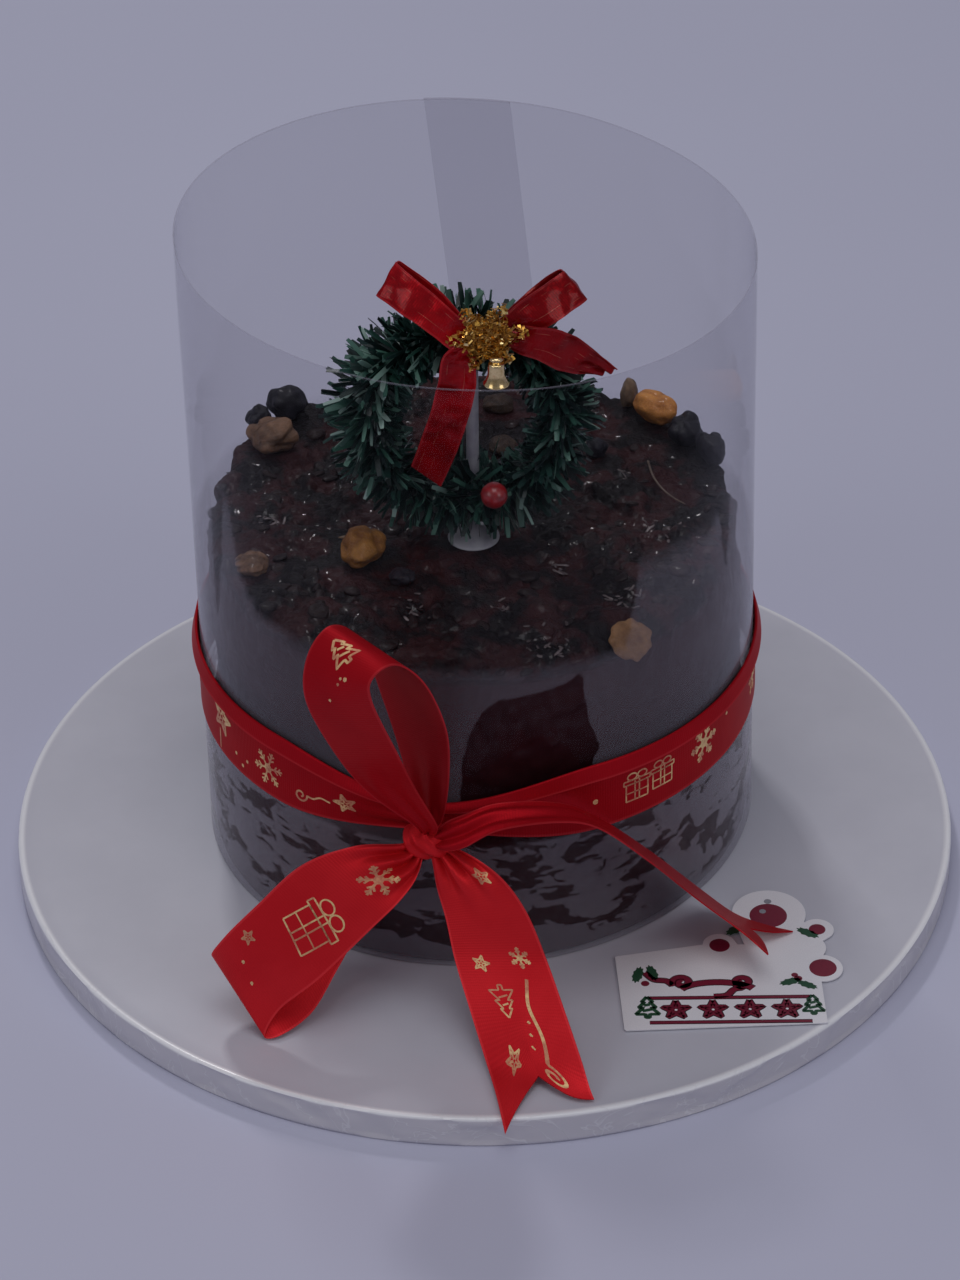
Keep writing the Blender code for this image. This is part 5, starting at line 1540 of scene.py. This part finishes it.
def make_band(paint, foil):
    """The ribbon's turn round the sleeve, gathered towards the knot, its upper edge folded outwards
    over itself, with its foil prints."""
    turn = np.linspace(0.0, 360.0, 721)[:-1, None]
    open_part, fold_part, flap_part = (
        np.linspace(*ends) for ends in ((0.0, 0.8, 22), (0.0, 1.0, 8), (0.845, 1.0, 7))
    )
    share = np.concatenate([open_part, 0.8 + 0.0352 * fold_part[1:], flap_part])
    tall, aside = band_section(share)
    pinch = 1.0 - smooth(np.minimum(turn, 360.0 - turn) / BAND_PINCH_ANGLE)
    low = BAND_LOW + (BAND_PINCH_LOW - BAND_LOW) * pinch
    high = BAND_HIGH + (BAND_PINCH_HIGH - BAND_HIGH) * pinch
    height = low + (high - low) * tall
    degrees = KNOT_ANGLE + turn
    outwards = FILM_THICK / 2.0 + GAP + BAND_SLACK + RIBBON_THICK / 2.0
    outwards = outwards + seam_lift(degrees, CAKE_BOTTOM) + aside
    wave = np.sin(TURN * 3.0 * share + 1.0 + 2.0 * pinch)
    outwards = outwards + 0.9 * pinch ** 2 * (0.5 + 0.5 * wave)
    grid = sleeve_points(np.radians(degrees), height, outwards)
    grid_round = np.concatenate([grid, grid[:1]])
    face = Laid(grid_round[:, :len(open_part)], BIG_RIBBON_WIDTH - BAND_FLAP)

    def spot(angle_degrees, level):
        """Along and across the band's open face, from the direction and height of a place."""
        share_round = ((angle_degrees - KNOT_ANGLE) % 360.0) / 360.0
        return share_round * face.lengths[-1], level - (BAND_LOW + BAND_HIGH) / 2.0

    prints = [
        (small_star(), (-153.6, 60.5), -12, 5.2),
        (straight(0.12), (-154.6, 53.2), 90, 3.0),
        (snowflake(), (-136.5, 57.4), 10, 5.4),
        (scroll(), (-127.6, 54.6), -80, 5.6),
        (small_star(), (-117.0, 57.0), 20, 3.6),
        (dots([(-1.6, 0.4), (0.4, -0.9), (1.8, 0.6)], 0.35), (-145.5, 53.5), 0, 1.6),
        (dots([(0.0, 0.0)], 0.5), (-66.5, 57.9), 0, 1.6),
        (gift_box(0.045), (-57.0, 58.4), 0, 4.9),
        (gift_box(0.045), (-50.6, 58.8), 0, 4.7),
        (snowflake(0.075), (-38.2, 59.6), 8, 5.6),
        (dots([(0.0, 0.0), (1.8, 1.6)], 0.4), (-29.5, 62.0), 0, 1.4),
    ]
    round_the_back = (snowflake(), gift_box(), small_star(), fir_tree())
    for number, angle in enumerate(range(-12, 190, 14)):
        prints.append((round_the_back[number % 4], (angle, 58.6), 8 * (number % 3 - 1), 5.0))
    jobs = [(face, shape, spot(*place), *rest) for shape, place, *rest in prints]
    marks = lay_strokes("band_foil", jobs, BAND_THICK / 2.0 - FOIL_SUNK, FOIL_THICK, foil, "ribbon")
    ribbon_piece(
        "printed_band", grid, BIG_RIBBON_WIDTH, BAND_THICK, paint, "ribbon", "ribbon_band",
        True,
    )


def make_big_bow(paint, shaded_satin_paint, foil):
    """Two loops and two tails of the printed ribbon, gathered at the knot, with their foil prints.

    A row holds the stations, the ends that run on into the knot, the grid's rows, the pleats, the
    notch, the deepest pleat, the cloth, how it is held, what it rests on, and its prints."""
    # The darker satin given to the upper loop and the side tail is painted shade.
    on_board = ["tied_knot", "wrapped_board"]
    rows = {
        "loop_upper": (
            UPPER_LOOP, "start, end", 280, 2, 0.0, 0.35, shaded_satin_paint, "gathered", ["tied_knot"], [
                (fir_tree(0.07), (64.5, -2.2), 200, 5.2),
                (dots([(0.0, 0.0)], 0.5), (58.0, 3.4), 0, 1.4),
                (dots([(0.0, 0.0), (3.4, 3.0), (4.6, 3.6)], 0.4), (52.0, -3.0), 0, 1.3),
            ],
        ),
        "loop_lower": (LOWER_LOOP, "start, end", 280, 3, 0.0, 1.5, paint, "gathered", on_board, [
            (gift_box(0.03), (30.5, 1.4), 75, 7.6), (snowflake(0.07), (9.8, 2.4), 20, 5.8),
            (dots([(0.0, 0.0), (1.6, 4.4)], 0.45), (52.0, -4.0), 0, 1.3),
            (small_star(), (46.0, -8.0), 30, 2.2),
        ]),
        "tail_front": (FRONT_TAIL, "start", 180, 3, TAIL_NOTCH, 1.5, paint, "draped", on_board, [
            (small_star(), (6.5, 6.5), 10, 2.6), (snowflake(0.09), (28.6, 5.4), 0, 2.9),
            (scroll(1.3, 0.055, 1.9), (57.0, 4.2), 88, 8.0),
            (dots([(0.0, 0.0), (-2.6, 0.4), (2.6, -0.4)], 0.4), (49.0, 1.6), 0, 1.2),
            (fir_tree(0.05), (40.0, -2.6), -90, 4.6), (small_star(), (30.0, -5.6), 0, 2.4),
            (small_star(), (52.0, -5.0), 18, 2.4),
        ]),
        "tail_side": (
            (*LOBE, *SIDE_TAIL), "", 230, 2, SIDE_NOTCH, 0.8, shaded_satin_paint, "draped", on_board, []
        ),
    }
    wide, sunk = BIG_RIBBON_WIDTH, RIBBON_THICK / 2.0 - FOIL_SUNK
    for name, row in rows.items():
        path, ends, count, pleats, notch, deep, cloth, held, rests_on, prints = row
        if "start" in ends:
            path = (drawn_in(path[0], KNOT_AT, 0.4), *path)
        if "end" in ends:
            path = (*path, drawn_in(path[-1], KNOT_AT, 0.4))
        grid = ribbon_grid(path, count, 36, wide, pleats, notch / TAIL_LENGTH, 0.0, deep)
        face = Laid(grid, wide, 1.0 / (len(path) - 1))
        if prints:
            jobs = [(face, *one) for one in prints]
            foil_name = "foil_" + name.split("_")[1]
            lay_strokes(foil_name, jobs, sunk, FOIL_THICK, foil, "ribbon")
        ribbon_piece(
            "satin_" + name, grid, wide, RIBBON_THICK, cloth, "ribbon", "ribbon_" + name,
        )


def make_knot(paint):
    """The knot: a squat ball whose skin is wrapped round a slanting axis in broad uneven folds,
    drawn in at both ends."""
    rings, sides = 90, 140
    facing = math.radians(KNOT_ANGLE)
    outward = np.array((math.cos(facing), math.sin(facing), 0.0))
    along = np.array((-outward[1], outward[0], 0.0))
    axis = unit(along * 0.86 + UP * 0.50)
    cross = np.cross(outward, axis)
    tilt = np.linspace(0.0, math.pi, rings + 2)[:, None]
    spin = round_angles(sides)
    place = np.cos(tilt)
    bend = 0.5 * cloud(points_from(place, np.cos(spin), np.sin(spin)), 0.9, 19, 2)
    wrap = smooth((0.62 - np.abs(place + 0.25 * np.sin(spin) * np.abs(place))) / 0.10)
    pleat = 0.075 * np.sin(place * 10.0 + 2.2 * np.sin(spin + 0.6) + 3.0 * bend) * wrap
    fan = 0.10 * np.sin(spin * 5.0 + 3.0 * place + 4.0 * bend) * (1.0 - wrap) * np.sin(tilt)
    ring = np.sin(tilt) ** 0.8 * (0.84 + 0.16 * wrap + pleat + fan + 0.10 * bend)
    body = (
        axis * (place * (0.96 + 0.04 * wrap))[..., None]
        + cross * (ring * np.cos(spin))[..., None] + outward * (ring * np.sin(spin))[..., None]
    )
    own_axes = np.array((along, outward, UP))
    points = (body @ own_axes.T * (KNOT_HALF * np.array((1.05, 1.06, 0.78)))) @ own_axes + KNOT_AT
    uv = points_from(38.0 * spin / TURN, 12.5 + 8.0 * place[1:-1]).reshape(-1, 2)
    uv = np.concatenate([uv, [(0.0, 12.5), (0.0, 12.5)]])
    points = with_poles(points[1:-1], points[0, 0], points[-1, 0])
    knot = put_mesh("tied_knot", points, ball_faces(rings, sides), uv)
    finish_piece(knot, paint, "ribbon", "ribbon_knot")


# ---- the wreath's bow ----
def make_small_bow():
    """Loops and tails of the narrow ribbon with metal threads, uneven near the star; the ones at
    the right are darker, as in shade."""
    wide = SMALL_RIBBON_WIDTH
    paints = {
        side: satin_finish(
            "ribbon with metal threads, " + label, bright, deep, wide, ribs_per_mm=1.6,
            threads=1.6, rough=0.26, gloss=0.30, folds=0.13,
        )
        for side, label, bright, deep in (
            ("left", "lit side", (0.48, 0.004, 0.009), (0.13, 0.001, 0.004)),
            ("right", "shaded side", (0.30, 0.002, 0.005), (0.10, 0.001, 0.003)),
        )
    }
    behind_star = np.array(STAR_AT) + (0.0, 2.4, 0.0)
    for name, stations, slant in (
        ("loop_left", BOW_LEFT_LOOP, 0.0),
        ("loop_right", BOW_RIGHT_LOOP, 0.0),
        ("tail_left", BOW_LEFT_TAIL, BOW_TAIL_POINT),
        ("tail_right", BOW_RIGHT_TAIL, BOW_TAIL_POINT * 0.2),
    ):
        form, side = name.split("_")
        path = (drawn_in(stations[0], behind_star, 0.35), *stations)
        if form == "loop":
            path = (*path, drawn_in(stations[-1], behind_star, 0.35))
        grid = ribbon_grid(path, 120, 20, wide, 2, 0.0, slant)
        firm = smooth(np.linspace(1.0, 0.0, len(grid)) / 0.3)[:, None]
        grid = grid + grid_normals(grid) * (0.8 * firm * cloud(grid, 6.0, 33, 2))[..., None]
        ribbon_piece(
            "narrow_" + name, grid, wide, NARROW_THICK, paints[side], "bow_ribbon", "bow_" + name,
        )


def star_reach(angle, longest, waist, power):
    """The star's outline: from its waist to its arms' tips by a power of how near an arm is."""
    from_arm = (angle - math.radians(STAR_TURN)) / (TURN / STAR_ARMS)
    near = 1.0 - np.abs((from_arm + 0.5) % 1.0 - 0.5) * 2.0
    return longest * near ** power + waist * (1.0 - near ** power)


def make_star():
    """A six-armed star of coarse glitter: a thin plate under seeded flakes that lie every way
    within its outline."""
    draw = np.random.default_rng(23)
    sides, count = 240, 620
    middle = np.array(STAR_AT)
    angle = round_angles(sides)
    reach = star_reach(angle, STAR_REACH * 0.66, STAR_WAIST * 0.60, 1.3)
    share = np.array((0.5, 1.0, 1.0, 0.5))[:, None]
    depth = np.array((-1.0, -0.8, 0.8, 1.0))[:, None] * STAR_THICK * 0.3
    rings = points_from(reach * share * np.cos(angle), depth, reach * share * np.sin(angle))
    plate = with_poles(rings, (0.0, -0.3, 0.0), (0.0, 0.3, 0.0)) + middle
    where = draw.uniform(0.0, TURN, count)
    limit = star_reach(where, STAR_REACH, STAR_WAIST, 1.2)
    far = limit * np.sqrt(draw.uniform(0.0, 1.08, count))
    deep = draw.uniform(-0.9, 0.7, count)
    spots = points_from(far * np.cos(where), deep, far * np.sin(where)) + middle
    flake = np.array([(x, y, z) for z in (-0.5, 0.5) for x, y in SQUARE])
    walls = [(0, 1, 5, 4), (1, 2, 6, 5), (2, 3, 7, 6), (3, 0, 4, 7)]
    flake_faces = [np.array([(3, 2, 1, 0), (4, 5, 6, 7), *walls])]
    sizes = points_from(draw.uniform(0.45, 1.15, count), draw.uniform(0.2, 0.42, count), 0.08)
    flakes = copies(flake, flake_faces, spots, random_frames(draw, count), sizes)
    golds = np.repeat(draw.beta(1.3, 1.3, count), len(flake))
    shades = {"tone": np.concatenate([np.full(len(plate), 0.1), golds])}
    shapes = joined([(plate, ball_faces(len(share), sides)), flakes])
    star = put_mesh("glitter_star", *shapes, shades=shades, sharp=20.0)
    finish_piece(star, glitter_finish(), "glitter", "bow_star")


def make_bell_and_berry():
    """A polished bell turned from a smooth profile, and a lacquered ball."""
    tall, mouth = BELL_HEIGHT, BELL_MOUTH
    crown = [(0.0, 0.0), (0.9, 0.05), (1.6, 0.25), (1.9, 0.7), (1.7, 1.2), (1.25, 1.6)]
    outer = (
        (1.25, tall - 1.9), (1.95, tall - 2.2), (2.2, tall * 0.5), (2.3, tall * 0.32),
        (2.85, 1.0), (mouth, 0.25),
    )
    inner = [
        (mouth, 0.0), (mouth - 0.35, 0.05), (mouth - 0.7, 0.3),
        (1.7, tall * 0.4), (1.3, tall * 0.6), (0.0, tall * 0.66),
    ]
    profile = np.concatenate([
        [(radius, tall - down) for radius, down in crown],
        curve_points(outer, np.linspace(0.0, 1.0, 34)), inner,
    ])
    bell = turned("polished_bell", profile, 72, BELL_AT, 60.0)
    brass = mottled_finish(
        "brass plated bell", (0.98, 0.76, 0.40), (0.66, 0.46, 0.20), (0.5, 3.0), (0.4, 0.7),
        (0.12, 0.14), 0.05, Metallic=1.0,
    )
    finish_piece(bell, brass, "bell", "bow_bell")
    base, faces = small_ball(40, 56)
    reach = BERRY_RADIUS * 0.99 * (1.0 + 0.012 * cloud(base, 0.6, 4, 2))
    berry = put_mesh("lacquered_berry", base * reach[:, None] + BERRY_AT, faces)
    lacquer = mottled_finish(
        "lacquered berry", (0.35, 0.005, 0.009), (0.20, 0.003, 0.006), (0.6, 3.0), (0.35, 0.7),
        (0.38, 0.1), 0.1, Coat_Weight=0.8, Coat_Roughness=0.10,
    )
    finish_piece(berry, lacquer, "berry", "bow_berry")


# ---- the card ----
def card_reach(angle):
    """Distance from the card's middle to its rim: the plate's nearest side in that direction, or a
    lobe's far side if further."""
    way = points_from(np.cos(angle), np.sin(angle))
    middle = np.array(CARD_MIDDLE)
    reach = np.full(angle.shape, 1000.0)
    corners = np.array(CARD_CORNERS)
    for a, b in zip(corners, np.roll(corners, -1, axis=0)):
        step, start = b - a, a - middle
        cross = way[:, 0] * step[1] - way[:, 1] * step[0]
        cross = np.where(np.abs(cross) < 1e-9, 1e-9, cross)
        far = (start[0] * step[1] - start[1] * step[0]) / cross
        share = (start[0] * way[:, 1] - start[1] * way[:, 0]) / cross
        hit = (far > 0.0) & (share >= -1e-6) & (share <= 1.000001)
        reach = np.where(hit, np.minimum(reach, far), reach)
    for x, y, radius in CARD_LOBES:
        offset = np.array((x, y)) - middle
        along = way @ offset
        aside = offset @ offset - along * along
        edge = along + np.sqrt(np.clip(radius * radius - aside, 0.0, None))
        lobe = (along > 0.0) & (aside < radius * radius)
        reach = np.where(lobe, np.maximum(reach, edge), reach)
    return reach


def plate_piece(outline, middle, low, high):
    """A thin flat plate: its outline shrunk to the middle in rings, with an upright edge."""
    half, near, edge = 0.5, 0.97, 0.03
    shares = np.array((half, near, 1.0, 1.0, near, half))[:, None]
    levels = np.array((low, low, low + edge, high - edge, high, high))[:, None]
    x, y = ((outline[:, k] - middle[k]) * shares + middle[k] for k in range(2))
    points = with_poles(points_from(x, y, levels), (*middle, low), (*middle, high))
    return points, ball_faces(len(shares), len(outline))


def leaf(x, y, length, turn):
    """A holly leaf's outline and its middle: spikes and hollows by turns round a long oval."""
    angle = round_angles(60)
    spike = 0.9 + 0.20 * np.abs(np.cos(angle * 5.0)) ** 3
    flat = length * spike[:, None] * points_from(np.cos(angle), 0.42 * np.sin(angle))
    return turned_flat(flat, turn) + (x, y), (x, y)


def disc(x, y, radius):
    """A round outline and its middle."""
    angle = round_angles(40)
    return points_from(x + radius * np.cos(angle), y + radius * np.sin(angle)), (x, y)


def printed_patches(name, outlines, low, high, paint):
    """Several printed patches as one piece of thin plates."""
    patches = joined([plate_piece(*outline, low, high) for outline in outlines])
    finish_piece(put_mesh(name, *patches, sharp=40.0), paint, "card")


def make_card():
    """A white cut-out card on the board, with a made-up design of holly, berries, a bauble, a fir
    tree at each side, scrolls and a row of stars."""
    low = BOARD_TOP + GAP
    high = low + CARD_THICK
    angle = round_angles(480)
    reach = card_reach(angle)[:, None]
    outline = np.array(CARD_MIDDLE) + reach * points_from(np.cos(angle), np.sin(angle))
    card = put_mesh("printed_card", *plate_piece(outline, CARD_MIDDLE, low, high), sharp=40.0)
    white = ink_finish("coated white card", (0.86, 0.85, 0.89), (0.80, 0.79, 0.84), 0.35)
    finish_piece(card, white, "card", "card")
    green = ink_finish("dark green ink", (0.012, 0.06, 0.03), (0.02, 0.09, 0.04))
    maroon = ink_finish("maroon ink", (0.22, 0.010, 0.035), (0.16, 0.008, 0.03))
    grey = ink_finish("grey ink", (0.30, 0.30, 0.34), (0.25, 0.25, 0.29))
    printed_patches("card_leaves", [
        leaf(79.4, -76.0, 3.0, 20), leaf(83.6, -77.4, 2.8, -30), leaf(39.6, -72.6, 3.2, 75),
        leaf(43.4, -72.0, 3.2, 105), leaf(66.4, -54.0, 3.4, 40), leaf(85.2, -56.0, 3.2, -35),
    ], high - 0.02, high + 0.05, green)
    printed_patches("card_berries", [
        disc(81.4, -74.8, 1.1), disc(80.6, -73.4, 0.9), disc(41.4, -76.2, 1.1),
        disc(75.2, -48.6, 5.0), disc(61.6, -60.8, 2.7), disc(88.2, -70.6, 3.6),
        disc(87.8, -54.6, 2.2),
    ], high - 0.02, high + 0.05, maroon)
    shine = [disc(73.8, -46.8, 0.9), disc(75.4, -42.6, 1.0)]
    printed_patches("card_shine", shine, high + 0.03, high + 0.09, grey)
    face = Level(high)

    def pattern(wider):
        """The card's scrolls, stars and lines, each stroke wider by so many millimetres."""
        made = [
            (face, scroll(1.4, 0.13 + wider / size), (x, -76.0), turn, size)
            for x, turn, size in ((51.0, 60, 6.8), (67.0, 120, 6.4))
        ]
        made += [
            (face, small_star(0.15 + wider / 3.7), (49.0 + 9.6 * number, -87.0), 0, 3.7)
            for number in range(4)
        ]
        arch = [circle_stroke(0.0, 0.0, 1.0, 0.10 + wider / 10.0, 20.0, 160.0, 0.4)]
        made.append((face, arch, (60.0, -80.0), 0, 10.0))
        rule = straight(0.022 + wider / 21.0)
        return made + [(face, rule, (63.0, level), 0, 21.0) for level in (-92.0, -82.2)]

    black = ink_finish("black ink", (0.010, 0.008, 0.012), (0.016, 0.012, 0.018))
    trees = [
        (face, fir_tree(0.12), (41.6, -86.0), 0, 4.4), (face, fir_tree(0.12), (84.6, -85.6), 0, 4.0)
    ]
    lay_strokes("card_outlines", pattern(0.28), -0.02, 0.045, black, "card")
    lay_strokes("card_scrolls", pattern(0.0), -0.02, 0.07, maroon, "card")
    lay_strokes("card_trees", trees, -0.02, 0.07, green, "card")


# ---- studio, in metres ----
def soft_lamp(name, place, aim, size, watts, colour):
    """A square lamp aimed at a point."""
    light = bpy.data.lights.new(name, "AREA")
    light.shape = "SQUARE"
    light.size = size
    light.energy = watts
    light.color = colour
    lamp = bpy.data.objects.new(name, light)
    lamp.location = place
    lamp.rotation_euler = (Vector(aim) - Vector(place)).to_track_quat("-Z", "Y").to_euler()
    bpy.context.scene.collection.objects.link(lamp)


def make_floor():
    """A wide pale floor just under the board, four metres to each side."""
    paint = Finish("pale floor")
    cloudy = paint.noise(0.003, 2.0)
    shade = paint.mix(cloudy.step(0.3, 0.7), (0.56, 0.565, 0.705), (0.545, 0.55, 0.69))
    reach, under = 4000.0, 0.05
    corners = [(x * reach, y * reach, -under) for x, y in SQUARE]
    floor = put_mesh("studio_floor", corners, [np.array([(0, 1, 2, 3)])])
    floor.data.materials.append(paint.done(Base_Color=shade, Roughness=0.8))


def make_studio():
    """An even pale sky and large soft lamps."""
    make_floor()
    world = bpy.data.worlds.new("pale room")
    world.use_nodes = True
    sky = world.node_tree.nodes["Background"]
    sky.inputs["Color"].default_value = (0.78, 0.79, 0.92, 1.0)
    sky.inputs["Strength"].default_value = 0.215
    bpy.context.scene.world = world
    aim = (0.0, 0.0, 0.08)
    warm, cool = (1.0, 0.99, 0.98), (0.97, 0.98, 1.0)
    plain = (1.0, 0.99, 1.0)
    soft_lamp("lamp behind", (-0.30, 0.95, 1.40), aim, 0.16, 4.4, plain)
    soft_lamp("lamp over the cake", (0.0, -0.40, 1.65), aim, 0.9, 5.0, plain)
    soft_lamp("lamp at the left", (-1.2, -0.9, 0.9), aim, 0.8, 2.9, cool)
    soft_lamp("lamp at the right", (1.1, -1.0, 1.0), aim, 0.8, 2.9, warm)
    bpy.context.scene.view_settings.view_transform = "Standard"
    bpy.context.scene.view_settings.look = "None"


def make_camera():
    """A long lens looking down on the cake from the front, rolled a little."""
    lens = bpy.data.cameras.new("camera")
    lens.lens, lens.sensor_width = 121.3, 36.0
    lens.clip_start, lens.clip_end = 0.01, 20.0
    camera = bpy.data.objects.new("camera", lens)
    place = (-0.00066, -0.94485, 0.7308)
    down, roll = math.radians(90.0 - 35.118), math.radians(-0.66)
    turn = Matrix.Rotation(down, 4, "X") @ Matrix.Rotation(roll, 4, "Z")
    camera.matrix_world = Matrix.Translation(place) @ turn
    bpy.context.scene.collection.objects.link(camera)
    bpy.context.scene.camera = camera


make_camera()
make_studio()
make_board()
make_sleeve()
lumps, pressed = make_cake()
make_crumbs(lumps, pressed)
make_fruit()
make_stand()
make_tinsel()
make_wire()
foil_print = foil_finish()
red_satin = satin_finish(
    "printed red satin", (0.71, 0.022, 0.030), (0.50, 0.007, 0.013), BIG_RIBBON_WIDTH
)
# A darker copy of the same red satin, painting shade on the band, the upper loop and the side tail.
shade_painted_satin = satin_finish(
    "printed red satin painted darker as shade", (0.44, 0.007, 0.014), (0.32, 0.005, 0.011),
    BIG_RIBBON_WIDTH,
)
make_knot(red_satin)
make_band(shade_painted_satin, foil_print)
make_big_bow(red_satin, shade_painted_satin, foil_print)
make_small_bow()
make_star()
make_bell_and_berry()
make_card()
